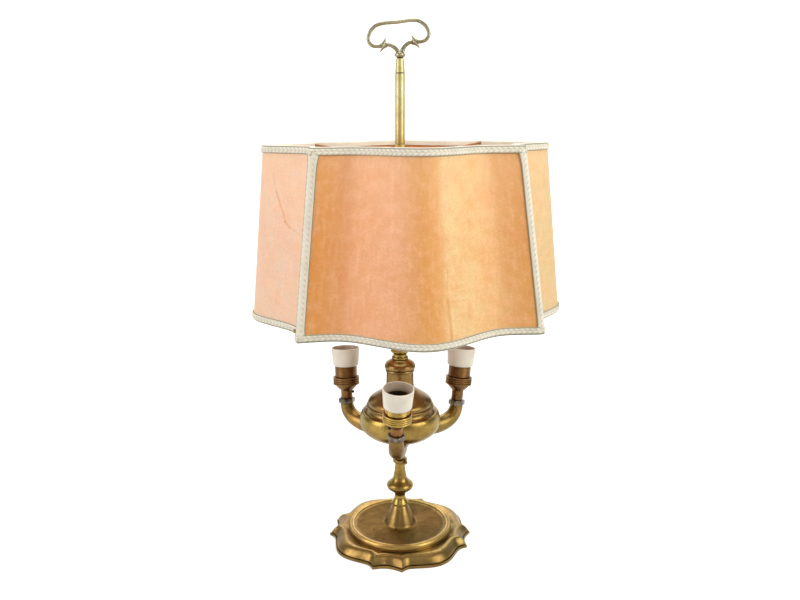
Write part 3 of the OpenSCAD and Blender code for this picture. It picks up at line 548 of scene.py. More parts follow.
def parchment(name, bands, clouds_dark, cracks=(), through=0.0):
    """Stiff parchment: soft bands across the panel, partly its colour and partly painted light, then clouds,
    grain and old cracks.
    """
    t, shader, output = finish_tree(name)
    place = t.add("ShaderNodeUVMap", props={"uv_map": "panel"}).outputs[0]
    part = t.parts(place)
    sway = noise(t, place, 5, 3, 0.5)
    lean = t.math("ADD", part[0], t.math("MULTIPLY", t.math("SUBTRACT", sway, 0.5), 0.03))
    # bands across the panel: partly the parchment's colour, partly painted light and shade
    base = ramp(t, span(t, lean, -0.18, 0.18, 0.0, 1.0), *bands)
    cloud = noise(t, place, 48, 6, 0.65)
    blush = noise(t, place, 90, 4, 0.6)
    fibres = noise(t, t.xyz(t.math("MULTIPLY", part[0], 7.0), part[1]), 34, 4, 0.6)
    fine = noise(t, place, 420, 4, 0.65)
    for share, tone in (
        (ramp(t, cloud, (0.42, 0.0), (0.70, 0.6)), clouds_dark),
        (ramp(t, blush, (0.46, 0.0), (0.72, 0.4)), (0.98, 0.60, 0.36)),
        (ramp(t, fibres, (0.5, 0.0), (0.78, 0.3)), (0.99, 0.70, 0.40)),
        (ramp(t, fine, (0.42, 0.22), (0.6, 0.0)), tint(clouds_dark, 0.72)),
        (span(t, part[1], 0.1, 0.21, 0.0, 0.22), (0.96, 0.68, 0.42)),
    ):
        base = mix(t, share, base, tone)
    wander = t.add("ShaderNodeTexNoise", Vector=place, Scale=60.0, Detail=3.0).outputs[1]
    shift = t.vector("SCALE", t.vector("SUBTRACT", wander, (0.5, 0.5, 0.5)), scale=0.004)
    bent = t.vector("ADD", place, shift)
    normal = bump(t, cloud, 0.12, 0.001)
    for a, b, width, depth in cracks:
        line = crack(t, bent, a, b, width)
        base = mix(t, t.math("MULTIPLY", line, depth), base, (0.66, 0.26, 0.07))
        normal = bump(t, line, -0.5 * depth, 0.0008, normal)
    normal = bump(t, fine, 0.1, 0.0004, normal)
    feed(t, shader, Base_Color=base, Roughness=span(t, fine, 0.3, 0.7, 0.5, 0.68), Normal=normal)
    feed(t, shader, Subsurface_Weight=0.35, Subsurface_Radius=(1.0, 0.45, 0.2), Subsurface_Scale=0.003)
    feed(t, shader, Specular_IOR_Level=0.3)
    if through:
        glow = t.add("ShaderNodeBsdfTranslucent", Color=base).outputs[0]
        both = t.add("ShaderNodeMixShader", through, shader.outputs[0], glow).outputs[0]
        t.put(output.inputs["Surface"], both)


def woven(name, light, second, soil_and_shade):
    """Silky braid thread in two tones, darkened between the strands by soil and painted shade."""
    t, shader, _ = finish_tree(name)
    axes = object_axes(t)
    patch = noise(t, axes, 40, 4, 0.6)
    thread = noise(t, axes, 2200, 3, 0.6)
    colour = mix(t, kept(t, "tone", "Fac"), light, second)
    colour = mix(t, ramp(t, patch, (0.45, 0.0), (0.75, 0.35)), colour, tint(second, 0.72))
    # darker between the strands: partly soil, partly painted shade
    colour = soil_and_shade_in_corners(t, colour, soil_and_shade, 0.0022, 0.2, 0.8, 0.7)
    dull = span(t, thread, 0.3, 0.7, 0.55, 0.8)
    feed(t, shader, Base_Color=colour, Roughness=dull, Normal=bump(t, thread, 0.3, 0.0003), Sheen_Weight=0.25)


def dress(obj, finish):
    obj.data.materials.clear()
    obj.data.materials.append(FINISHES[finish])


def dress_nodes(finish, *names):
    for name in names:
        dress(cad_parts[name], finish)


def seat(obj, body, slot, finish, *nodes):
    """Finishes a piece: its finish, its body and the nodes it stands for."""
    if finish:
        dress(obj, finish)
    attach(obj, body)
    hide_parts(*nodes)


# Sizes that the pieces share with the frame


# Foot, stem and stop
FOOT_R, SCALLOP, CUSP, CUSP_FALL, FOOT_TURN = 96.0, 7.0, 11.5, 7.5, -10.0
LIP_H, SKIRT_H, DISH_R, BEAD_RING_R = 3.5, 14.3, 69.0, 64.3
SKIRT_CREST, SKIRT_GROOVE = 0.55, 2.1
DISH_Z, CONE_TOP_Z, CONE_TOP_R, BOSS_Z = 18.2, 47.5, 10.3, 14.0
LEDGE_Z, LEDGE_R = 11.4, 64.5
BORE, RUN_BORE, SLIP = 5.1, 5.08, 0.08
STOP_Z, STOP_H, STOP_R = 108.0, 4.6, 9.5
# Font and the tube above it
FONT_Z, WIDE_Z, RIM_Z, SHOULDER_Z, CAP_Z, BELL_Z = 112.9, 167.0, 181.5, 213.0, 240.0, 253.0
FONT_R, BOWL_DEPTH, BOWL_RISE, RIM_R, WALL = 53.2, 27.5, 14.5, 48.8, 2.0
SHOULDER_R, CHIMNEY_R, CAP_R = 43.0, 17.9, 20.2
TUBE_Z, TUBE_TOP, TUBE_R = 268.3, 612.0, 5.9
# Arms and lampholders
ARM_REACH, ARM_ROOT_Z, ARM_ROOT_R, ARM_TIP_R = 87.4, 37.6, 11.8, 8.8
ARM_START, NUT_RISE = -92.9, 65.1
# Distance and radius of each arm inside the font
ARM_ROOTS = ((30, 6.2), (34, 8.0), (38, 9.5), (42, 10.6), (46, 11.3), (50, 11.7))
# Name, lean, its direction, neck, rise of the nut and foot of the ring of each lampholder
HOLDERS = (
    ("front", 8.3, -75.0, 11.0, 2.0, 26.7),
    ("right", 7.5, 52.0, 14.0, 0.0, 34.2),
    ("left", 6.0, 102.0, 11.3, 0.0, 34.2),
)
NUT_H, NUT_AF, NECK_R = 7.0, 20.0, 7.8
SHELL_R, BAND_R, BAND_H, RIBS = 15.1, 17.9, 10.5, 4
CUP_H, SHELL_H, THREADS, THREAD_PITCH = 8.2, 33.0, 10, 1.9
RING_H, RING_SEAT, RING_WALL, RING_FLARE = 24.8, 7.4, 2.4, 1.8
# Bush and shade; a pair holds the sizes at the shade's bottom and top
HUB_Z, SLEEVE_T, FLANGE_W, FLANGE_H = 506.0, 2.08, 4.4, 2.5
RIM_TOP_Z, SHADE_H = 528.0, 211.5
HALF_W, HALF_D = (139.0, 117.0), (129.6, 107.0)
SWELL, SWELL_W, FLARE = (57.0, 58.5), (103.0, 82.0), 2.7
# How the shade sits on the rod: its turn, shift and leans about X and Y
SHADE_TURN, SHADE_SHIFT, SHADE_LEAN = 6.15, 9.0, (0.81, 0.44)
SIDES = ("front", "right", "back", "left")
PAPER, WIRE_R, WIRE_IN, RIM_BRAID, RIB_BRAID, BRAID_GAP = 0.8, 1.5, 2.35, 8.0, 6.2, 0.15
RIM_SLANT, RIB_SLANT, RIM_CORD, RIB_CORD, STRAND_T = 38, 40, 0.6, 0.55, 1.2
# Section of the braid's fold over a rim and its wire: distance past the rim and outwards
FOLD = (
    (-5.8, -4.1), (-0.6, -4.1), (0.15, -3.5), (0.3, -1.8), (0.15, 0.2), (0.5, 0.75),
    (1.1, 0.1), (1.2, -1.8), (1.0, -3.8), (0.2, -4.7), (-1.2, -4.95), (-5.8, -4.9),
)
# Finial and handle
BEAD_Z, BEAD_H, BEAD_R, BEAD_CUT, STUB_R = 629.15, 8.2, 6.2, 68, 3.48
LOOP_Z, LOOP_W, LOOP_H, LOOP_R, LOOP_LEAN = 637.7, 36.2, 33.5, 2.2, -6.0


def arm_turn(i):
    return radians(ARM_START + 120 * i)


def nut_at(i):
    a = arm_turn(i)
    return Vector((ARM_REACH * cos(a), ARM_REACH * sin(a), FONT_Z + NUT_RISE + HOLDERS[i][4]))


def holder_axis(i):
    lean, way = radians(HOLDERS[i][1]), radians(HOLDERS[i][2])
    return Vector((sin(lean) * cos(way), sin(lean) * sin(way), cos(lean)))


def holder_place(i, up=0.0):
    """Place of a holder's own axes, a distance up from the middle of its nut."""
    lean, way = radians(HOLDERS[i][1]), radians(HOLDERS[i][2])
    turn = Matrix.Rotation(way, 4, "Z") @ Matrix.Rotation(lean, 4, "Y")
    return Matrix.Translation((nut_at(i) + holder_axis(i) * up) * MM) @ turn


def neck_place(i):
    return holder_place(i, NUT_H / 2 + HOLDERS[i][3])


# Walls of the shade


def swell(u, half, e):
    a = abs(u)
    if a < SWELL_W[e]:
        return SWELL[e] * (1 + cos(pi * a / SWELL_W[e])) / 2
    return FLARE * ((a - SWELL_W[e]) / (half - SWELL_W[e])) ** 2


def shade_plan(e, steps):
    """Closed plan of the shade at its bottom (0) or top (1)."""
    out = []
    for side in range(4):
        half, base = (HALF_W[e], HALF_D[e]) if side % 2 == 0 else (HALF_D[e], HALF_W[e])
        turn = Matrix.Rotation(pi / 2 * side, 2)
        for k in range(steps):
            u = lerp(-half, half, k / steps)
            out.append(turn @ Vector((u, -base - swell(u, half, e))))
    return out


def outward(plan, k):
    a = (plan[k] - plan[k - 1]).normalized()
    b = (plan[(k + 1) % len(plan)] - plan[k]).normalized()
    way = Vector((a.y + b.y, -a.x - b.x)).normalized()
    return way / way.dot(Vector((b.y, -b.x)))


class ShadeWall:
    """Points of the shade's wall by plan step, height share and distance outwards, in metres."""

    def __init__(self, steps):
        self.steps = steps
        self.count = 4 * steps
        self.plans = [shade_plan(e, steps) for e in (0, 1)]
        self.ways = [[outward(p, k) for k in range(self.count)] for p in self.plans]
        self.turn = (
            Matrix.Rotation(radians(-SHADE_LEAN[1]), 3, "Y")
            @ Matrix.Rotation(radians(-SHADE_LEAN[0]), 3, "X")
            @ Matrix.Rotation(radians(SHADE_TURN), 3, "Z")
        )

    def at(self, k, share, out):
        k %= self.count
        low = self.plans[0][k] + out * self.ways[0][k]
        high = self.plans[1][k] + out * self.ways[1][k]
        p = lerp(low, high, share)
        z = RIM_TOP_Z - SHADE_H * (1 - share) - HUB_Z
        return (Vector((SHADE_SHIFT, 0, HUB_Z)) + self.turn @ Vector((p.x, p.y, z))) * MM

    def facing(self, k, share):
        return (self.at(k, share, 1.0) - self.at(k, share, 0.0)).normalized()

    def round(self, share, out):
        """Closed line round the whole shade."""
        return [self.at(k, share, out) for k in range(self.count)]


# Pieces


def foot_outline(a):
    """Radius of the foot at an angle from the middle of a pair of cusps, in degrees."""
    start, valley = CUSP + CUSP_FALL, FOOT_R - SCALLOP
    if a <= CUSP:
        return valley + SCALLOP * (a / CUSP) ** 2
    if a <= start:
        return valley + SCALLOP * ((start - a) / CUSP_FALL) ** 2
    return valley + SCALLOP * (1 - cos(pi * (a - start) / (45 - start))) / 2


def foot_section(r):
    """Section over the lip, up the roll to its crest and down the hollow beside the dish."""
    roll, mean = [], FOOT_R - SCALLOP / 2
    for k in range(33):
        t = k / 32
        x = lerp(mean - 2.2, DISH_R + 0.5, t) + (r - mean) * (1 - t * t)
        if t < SKIRT_CREST:
            z = lerp(LIP_H + 0.9, SKIRT_H, sin(pi / 2 * t / SKIRT_CREST) ** 0.8)
        else:
            z = SKIRT_H - SKIRT_GROOVE * (1 - cos(pi * (t - SKIRT_CREST) / (1 - SKIRT_CREST))) / 2
        roll.append((x, z))
    return (
        [(r - 0.3, 0), (r, 0.35), (r, LIP_H - 0.8), (r - 0.2, LIP_H - 0.25), (r - 0.7, LIP_H)]
        + [(r - 1.5, LIP_H - 0.3), (r - 2.3, LIP_H - 0.4), (r - 2.4, LIP_H + 0.3)]
        + roll
        + [(DISH_R + 0.2, SKIRT_H - SKIRT_GROOVE - 0.1), (DISH_R + 0.2, LEDGE_Z), (LEDGE_R, LEDGE_Z)]
        + [(LEDGE_R, LEDGE_Z - 3), (lerp(r - 5, LEDGE_R, 0.5), LEDGE_Z - 4.2), (r - 5, 0)]
    )


def foot_ring():
    start = CUSP + CUSP_FALL
    half = [CUSP * k / 8 for k in range(8)]
    half += [lerp(CUSP, start, k / 8) for k in range(8)]
    half += [lerp(start, 45, k / 16) for k in range(17)]
    lobe = half[:-1] + [90 - a for a in reversed(half[1:])]
    rings = []
    for q in range(4):
        for a in lobe:
            t = radians(FOOT_TURN + 90 * q + a)
            section = foot_section(foot_outline(min(a, 90 - a)))
            rings.append([(r * MM * cos(t), r * MM * sin(t), z * MM) for r, z in section])
    return skinned("foot_ring_rolled", rings, closed=True, sharp=30)


def dish_outline():
    rim, top, bend = DISH_R, DISH_Z + 2, DISH_Z + 3.63
    shoulder = (rim + 0.3, LEDGE_Z + 6.2), (rim - 1.1, top + 0.4)
    cone_side = (20, DISH_Z + 4.3), (16.4, DISH_Z + 14.3)
    cone = bez([(21.6, DISH_Z), *cone_side, (CONE_TOP_R + 0.3, CONE_TOP_Z - 2.3)], 28)
    return (
        [(rim + 0.1, LEDGE_Z), (rim + 0.45, LEDGE_Z + 0.9), (rim + 0.3, LEDGE_Z + 1.8)]
        + bez([(rim + 0.2, LEDGE_Z + 2.2), *shoulder, (BEAD_RING_R + 2.2, top)], 20)
        + bulge(BEAD_RING_R - 0.4, top - 0.6, 1.7, 0.8, 12, 0, 180)
        + [(BEAD_RING_R - 3, DISH_Z + 0.7), (BEAD_RING_R - 4.6, DISH_Z + 0.2), (48, DISH_Z + 0.08)]
        + bez([(27.5, DISH_Z + 0.05), (24, DISH_Z + 0.08), (21.3, DISH_Z + 0.75), (20.27, bend)], 14)
        + [p for p in cone if p[1] > bend + 0.2]
        + [(CONE_TOP_R, CONE_TOP_Z - 1.9), (CONE_TOP_R, CONE_TOP_Z), (BORE, CONE_TOP_Z)]
        + [(BORE, BOSS_Z), (20, BOSS_Z), (24, DISH_Z - 2.8), (BEAD_RING_R - 4, DISH_Z - 2.8)]
        + [(BEAD_RING_R + 0.6, DISH_Z - 1.6), (LEDGE_R + 1, LEDGE_Z + 2.4), (LEDGE_R + 1, LEDGE_Z)]
    )


def stem_outline():
    z, neck, knop, column, collar = CONE_TOP_Z, 7.05, 17.85, 6.6, 11.55
    return (
        [(BORE, z), (collar, z)]
        + bez([(collar, z + 2), (collar - 2.5, z + 4.5), (neck, z + 8.5), (neck, z + 12.5)], 14)
        + bez([(neck + 0.01, z + 12.6), (neck + 0.4, z + 20.5), (knop - 0.6, z + 20), (knop, z + 26.4)], 20)
        + bez([(knop, z + 27.2), (knop - 0.8, z + 32.5), (column + 2.8, z + 32.5), (column + 2, z + 41)], 20)
        + bez([(column + 1.98, z + 41.1), (column + 1, z + 46), (column, z + 50), (column, z + 60.5)], 14)
        + [(BORE, z + 60.5)]
    )


def bowl_outline():
    join, hole, neck = radians(66), radians(70), 7.2
    low = (FONT_R * cos(join), WIDE_Z - BOWL_DEPTH * sin(join))
    under = (8.6, low[1] - 10), (lerp(low[0], neck, 0.45), low[1] - 5)
    outer = [(RUN_BORE, FONT_Z), (neck, FONT_Z)]
    outer += bez([(neck, low[1] - 24), *under, low], 16)
    outer += bulge(0, WIDE_Z, FONT_R, BOWL_DEPTH, 30, -64, 0)
    outer += [(lerp(RIM_R, FONT_R, cos(t)), WIDE_Z + BOWL_RISE * sin(t)) for t in quarter(12)[1:]]
    inner = []
    for t in quarter(6):
        inner.append((lerp(RIM_R, FONT_R, sin(t)) - WALL, WIDE_Z + BOWL_RISE * cos(t)))
    for k in range(1, 13):
        t = radians(70 * k / 12)
        inner.append(((FONT_R - WALL) * cos(t), WIDE_Z - (BOWL_DEPTH - WALL) * sin(t)))
    return outer + inner + [(RUN_BORE, WIDE_Z - (BOWL_DEPTH - WALL) * sin(hole))]


def shoulder_outline():
    step_r, step_z, top_r = SHOULDER_R - 0.7, RIM_Z + 13.1, CHIMNEY_R + 1.5
    dome = (step_r - 2, step_z + 6.4), (lerp(top_r, step_r, 0.33), step_z + 11.4)
    under = (lerp(top_r, step_r, 0.3) - 2, step_z + 9), (step_r - 4, step_z + 4)
    outer = round_in((RIM_R - 0.2, RIM_Z), (SHOULDER_R + 0.3, RIM_Z + 6), 12)
    outer += bulge(SHOULDER_R, RIM_Z + 7.6, 1.5, 1.5, 12)
    outer += [(step_r, RIM_Z + 9.3)]
    outer += bez([(step_r, step_z), *dome, (top_r, SHOULDER_Z)], 24)
    inner = bez([(top_r - 2.2, SHOULDER_Z), *under, (step_r - 2, step_z - 1)], 10)
    return outer + inner + [(SHOULDER_R - 2.2, RIM_Z + 5), (RIM_R - 4, RIM_Z)]


def chimney_outline():
    r, z, top = CHIMNEY_R, SHOULDER_Z, CAP_Z
    outer = bez([(r + 1.5, z), (r + 0.5, z + 3), (r, z + 6), (r - 0.1, top - 4.2)], 12)
    return outer + [(r + 1, top - 3.4), (r + 1.2, top - 1.8), (r + 0.4, top), (r - 1.7, top), (r - 1.7, z)]


def cap_outline():
    r, z = CAP_R, CAP_Z
    outer = [(r - 2.2, z), (r - 0.9, z), (r, z + 1.6), (r, z + 4.2)]
    outer += bez([(r - 0.4, z + 5), (r - 2, z + 10), (13, z + 9.5), (10.2, BELL_Z)], 16)
    return outer + [(7, BELL_Z), (7, z + 10.5), (r - 6, z + 7), (r - 2.6, z + 3)]


def bell_outline():
    z = BELL_Z
    return (
        [(RUN_BORE, z)]
        + bulge(9.3, z + 1.7, 1.7, 1.7, 12)
        + bez([(9.2, z + 3.6), (8.4, z + 6), (8.6, z + 7), (11.6, z + 9.6)], 12)
        + [(12.3, z + 10.6), (12.3, z + 11.8), (11.2, z + 12.8), (10.4, z + 15), (RUN_BORE, z + 15)]
    )


def arm_line(i, n=40):
    way, z, out = arm_turn(i), FONT_Z + ARM_ROOT_Z, FONT_R + 1.5
    tip = nut_at(i) - holder_axis(i) * (NUT_H / 2 + 0.05)

    def polar(r, up):
        return Vector((r * cos(way), r * sin(way), up))

    bend = polar(lerp(out, ARM_REACH, 0.55), z + 0.2), tip - holder_axis(i) * 15
    line = [tuple(polar(r, z)) for r, _ in ARM_ROOTS] + bez([polar(out, z), *bend, tip], n)
    radii = [r for _, r in ARM_ROOTS]
    radii += [lerp(ARM_ROOT_R, ARM_TIP_R, (k / n) ** 0.8) for k in range(n + 1)]
    return [Vector(p) * MM for p in line], [r * MM for r in radii]


def hex_nut(name, across, height):
    """Worn hexagon nut with rounded corners."""
    r = across / sqrt(3) * MM
    turns = [pi / 3 * k for k in range(6)]
    bm = bmesh.new()
    skin(bm, [
        [(r * grow * cos(t), r * grow * sin(t), (z - 0.5) * height * MM) for t in turns]
        for z, grow in ((0, 0.9), (0.14, 1.0), (0.86, 1.0), (1, 0.9))
    ])
    bmesh.ops.bevel(bm, geom=list(bm.edges), offset=0.55 * MM, segments=3, affect="EDGES", profile=0.6)
    return add_object(name, close_mesh(name, bm, 30))


def holder_cap_outline(i):
    seat_r, low = SHELL_R - 0.2, -HOLDERS[i][3] + 0.05
    return (
        [(BORE, low), (NECK_R, low)]
        + bez([(NECK_R, -0.8), (NECK_R + 2.4, 1.8), (seat_r - 1.6, 4.4), (seat_r, CUP_H - 0.9)], 16)
        + [(seat_r, CUP_H), (seat_r - 3, CUP_H), (seat_r - 3, CUP_H - 1.6), (BORE + 1.2, 1.2), (BORE, 0)]
    )


def holder_band_outline():
    groove = ((0, -0.7), (-0.2, -0.4), (-0.95, 0), (-0.2, 0.4), (0, 0.7))
    top, r = CUP_H + BAND_H, BAND_R
    outline = [(SHELL_R + 0.1, CUP_H), (r - 0.4, CUP_H), (r, CUP_H + 0.4)]
    for k in range(1, RIBS):
        outline += [(r + out, CUP_H + BAND_H / RIBS * k + up) for out, up in groove]
    return outline + [(r, top - 0.4), (r - 0.4, top), (SHELL_R + 0.1, top)]


def holder_shell_outline():
    top, inner = CUP_H + SHELL_H, SHELL_R - 0.95
    outline = [(inner - 2.3, CUP_H), (SHELL_R, CUP_H)]
    for k in range(THREADS):
        z = CUP_H + BAND_H + 0.6 + THREAD_PITCH * k
        outline += [(SHELL_R - 0.35, z), (SHELL_R, z + 0.5), (SHELL_R, z + 1.4)]
    outline += [(SHELL_R, top - 0.6), (SHELL_R - 0.4, top), (inner, top)]
    return outline + [(inner, CUP_H + 1), (inner - 2.3, CUP_H + 1)]


def paint_shade_inside(piece, i, finish):
    """Gives the faces that look towards a holder's axis another, darker finish: painted shade inside the
    holder.
    """
    piece.data.materials.append(FINISHES[finish])
    back = neck_place(i).inverted()
    for face in piece.data.polygons:
        place, normal = (back @ face.center).xy, (back.to_3x3() @ face.normal).xy
        if place.dot(normal) < -0.3 * place.length:
            face.material_index = 1


def ring_outline(i):
    low = HOLDERS[i][5]
    bore, top, flange = SHELL_R + SLIP, low + RING_H, low + RING_SEAT
    foot, mouth = bore + RING_WALL, bore + RING_WALL + RING_FLARE
    outside = [(bore, low), (foot - 1.4, low), (foot - 0.4, low + 0.7), (foot, low + 2), (mouth, top - 0.5)]
    inside = [(mouth - 1.6, top), (foot - 0.6, flange + 1), (foot - 1.6, flange), (bore, flange)]
    return outside + [(mouth - 0.5, top)] + inside


def panel_mesh(side, wall, rows=28):
    """One parchment panel with its own map: metres across from its middle, and metres up."""
    name = "parchment_" + SIDES[side]
    first, steps = side * wall.steps, wall.steps
    size = HALF_W if side % 2 == 0 else HALF_D
    half = (size[0] + size[1]) / 2
    bm = bmesh.new()
    layer = bm.loops.layers.uv.new("panel")
    verts, place = {}, {}
    for side_of, out in (("a", 0.0), ("b", -PAPER)):
        for k in range(steps + 1):
            for j in range(rows + 1):
                p = wall.at(first + k, j / rows, out)
                if k in (0, steps):
                    p = p.lerp(wall.at(first + (1 if k == 0 else steps - 1), j / rows, out), 0.1)
                v = verts[side_of, k, j] = bm.verts.new(p)
                place[v] = ((k / steps - 0.5) * 2 * half * MM, j / rows * SHADE_H * MM)

    def face(*corners):
        bm.faces.new([verts[corner] for corner in corners])

    for k in range(steps):
        for j in range(rows):
            face(("a", k, j), ("a", k + 1, j), ("a", k + 1, j + 1), ("a", k, j + 1))
            face(("b", k, j + 1), ("b", k + 1, j + 1), ("b", k + 1, j), ("b", k, j))
        for j in (0, rows):
            face(("a", k, j), ("b", k, j), ("b", k + 1, j), ("a", k + 1, j))
    for j in range(rows):
        for k in (0, steps):
            face(("a", k, j), ("a", k, j + 1), ("b", k, j + 1), ("b", k, j))
    for f in bm.faces:
        for loop in f.loops:
            loop[layer].uv = place[loop.vert]
    return add_object(name, close_mesh(name, bm, 50))


def strand(length, width, thick):
    """Spindle-shaped bundle of thread that lies along X."""
    turns = [pi / 3 * j for j in range(6)]
    rows = []
    for k, size in enumerate((0.25, 0.85, 1.0, 0.85, 0.25)):
        x, wide, high = (k / 4 - 0.5) * length * MM, size * width / 2 * MM, size * thick / 2 * MM
        rows.append([(x, wide * cos(t), high * sin(t)) for t in turns])
    bm = bmesh.new()
    skin(bm, rows)
    return add_object("strand", close_mesh("strand", bm, 80))


def plait(name, rows, closed, source, pitch, slant):
    """Rows of strands: each row is its points, their outward directions and the way it leans."""
    facing = [tuple(f) for row in rows for f in row[1]]
    lean = [row[2] for row in rows for _ in row[0]]
    lines = line_object(name, [row[0] for row in rows], closed, facing=facing, lean=lean)
    sizes = {"Pitch": pitch * MM, "Slant": radians(slant)}
    return grown(name, lines, "plait", Source=source, Material=FINISHES["braid_thread"], **sizes)


def bars(name, lines, radii, finish, closed=False, sides=16):
    obj = line_object(name, lines, closed, radius=[r for row in radii for r in row])
    return grown(name, obj, "bar", Sides=sides, Material=FINISHES[finish])


def rim_braid(name, low, high, wall, source, sizes):
    """Braid round a rim: band, fold over the rim's wire, two rows of strands and edge cords."""
    count = range(wall.count)
    domed = [(j / 8, BRAID_GAP + 0.5 + 1.1 * sin(pi * (j / 8)) ** 0.6) for j in range(1, 8)]
    band = []
    for k in count:
        ring = [wall.at(k, low, BRAID_GAP), wall.at(k, high, BRAID_GAP)]
        band.append(ring + [wall.at(k, lerp(high, low, t), out) for t, out in domed])
    base = skinned(name + "_band", band, closed=True)
    dress(base, "braid_ground")
    rim, way = (high, 1) if high == 1 else (low, -1)
    folds = [[wall.at(k, rim + way * past / SHADE_H, out) for past, out in FOLD] for k in count]
    fold = skinned(name + "_fold", folds, closed=True)
    dress(fold, "braid_thread")
    rows = []
    for t, lean in ((0.28, 1.0), (0.72, -1.0)):
        share = lerp(low, high, t)
        rows.append((wall.round(share, BRAID_GAP + 1.5), [wall.facing(k, share) for k in count], lean))
    strands = plait(name + "_strands", rows, True, source, sizes.braid_pitch, RIM_SLANT)
    edges = [wall.round(lerp(low, high, t), BRAID_GAP + 0.8) for t in (0.07, 0.93)]
    cords = bars(name + "_cords", edges, [[RIM_CORD * MM] * wall.count] * 2, "braid_edge", True, 8)
    return joined(name, [base, fold, strands, cords])


def rib_braid(wall, source, sizes):
    """Braid down the four ribs: a bent band, a row of strands on each leg and edge cords."""
    share = RIM_BRAID / SHADE_H
    heights = [lerp(share * 0.6, 1 - share * 0.6, k / 30) for k in range(31)]
    levels = inner, side_o, mid_o, top_o = [BRAID_GAP + o for o in (0.0, 0.7, 1.6, 2.0)]
    inside = ((1, 1, inner), (1, 0.5, inner), (1, 0, inner), (-1, 0.5, inner), (-1, 1, inner))
    outside = ((-1, 0.99, side_o), (-1, 0.7, mid_o), (-1, 0.3, top_o))
    section = inside + outside + tuple((-w, q, o) for w, q, o in reversed(outside))
    bands, rows, edges = [], [], []
    for side in range(4):
        k = side * wall.steps
        rings, legs, rims = [], {-1: ([], []), 1: ([], [])}, {-1: [], 1: []}
        for s in heights:
            wide = RIB_BRAID * (1.12 + 0.6 * max(0.0, (s - 0.88) / 0.12, (0.07 - s) / 0.07) ** 2)
            ring = {}
            for o in levels:
                c = wall.at(k, s, o)
                for w in (-1, 1):
                    ring[o, w] = c, (wall.at(k + w, s, o) - c).normalized() * wide * MM
            for w in (-1, 1):
                flat = (wall.facing(k + w * 2, s) + wall.facing(k, s) * 0.8).normalized()
                legs[w][0].append(ring[mid_o, w][0] + ring[mid_o, w][1] * 0.5)
                legs[w][1].append(flat)
                rims[w].append(ring[inner, w][0] + ring[inner, w][1] + flat * 0.5 * MM)
            rings.append([ring[o, w][0] + ring[o, w][1] * q for w, q, o in section])
        bands.append(skinned("rib_band", rings))
        dress(bands[-1], "braid_ground")
        for w in (-1, 1):
            rows.append((*legs[w], float(w)))
            edges.append(rims[w])
    strands = plait("rib_strands", rows, False, source, sizes.braid_pitch, RIB_SLANT)
    cords = bars("rib_cords", edges, [[RIB_CORD * MM] * len(heights)] * 8, "braid_edge", False, 8)
    return joined("braid_on_ribs", bands + [strands, cords])


def leaned(x, z):
    t = radians(LOOP_LEAN)
    return Vector((x * cos(t) + z * sin(t), 0, LOOP_Z + z * cos(t) - x * sin(t))) * MM


def loop_line():
    w, h = LOOP_W, LOOP_H
    branch = [(2.5, -2.6), (3.3, 1.0), (6.6, 5), (12, 8.3), (18, 8.6), (24.5, 8)]
    bend = [(w - 5, 9), (w - 1, 12.6), (w, 18), (w - 3, 25.4), (w - 10.4, h - 1.8)]
    right = spline(branch + bend + [(16, h), (6, h - 0.2), (0, h - 0.4)], 8)
    line = [leaned(x, z) for x, z in right] + [leaned(-x, z) for x, z in reversed(right[:-1])]
    n = len(right) - 1
    thicker = [max(0, 1 - min(k, 2 * n - k) / n * 4) for k in range(len(line))]
    return line, [LOOP_R * MM * lerp(1, 1.28, t) for t in thicker]


def leaf_lines():
    """Pointed leaves on the branches: one up and one down on each side, each a curved spike."""
    up = spline([(20.4, 8.0), (18.4, 10.6), (16.8, 13.4), (15.6, 16.6)], 4)
    down = spline([(16.4, 8.8), (19.0, 7.0), (21.6, 4.2), (23.6, 0.8)], 4)
    lines = [[leaned(mx * x, z) for x, z in leaf] for mx in (-1, 1) for leaf in (up, down)]
    n = len(up) - 1
    radii = [LOOP_R * MM * lerp(1.75, 0.15, (k / n) ** 0.95) for k in range(n + 1)]
    return lines, [radii] * len(lines)


# Settings


def count_of(label, note, value, low, high):
    return bpy.props.IntProperty(name=label, description=note, default=value, min=low, max=high)


def length_of(label, note, value, low, high):
    return bpy.props.FloatProperty(name=label, description=note + ", in mm", default=value, min=low, max=high)


def colour_of(label, note, value):
    return bpy.props.FloatVectorProperty(
        name=label, description=note, default=value, size=3, subtype="COLOR", min=0.0, max=1.0
    )


class LampSizes(bpy.types.PropertyGroup):
    """Sizes of the finished pieces."""

    steps: count_of("Turning steps", "Steps round each turned piece", 144, 48, 256)
    wall_steps: count_of("Panel steps", "Steps across each panel", 72, 24, 160)
    braid_pitch: length_of("Braid pitch", "Distance between strands", 2.1, 1.0, 5.0)
    strand_length: length_of("Strand length", "Length of a strand", 5.0, 2.0, 9.0)
    strand_width: length_of("Strand width", "Width of a strand", 1.85, 0.5, 4.0)


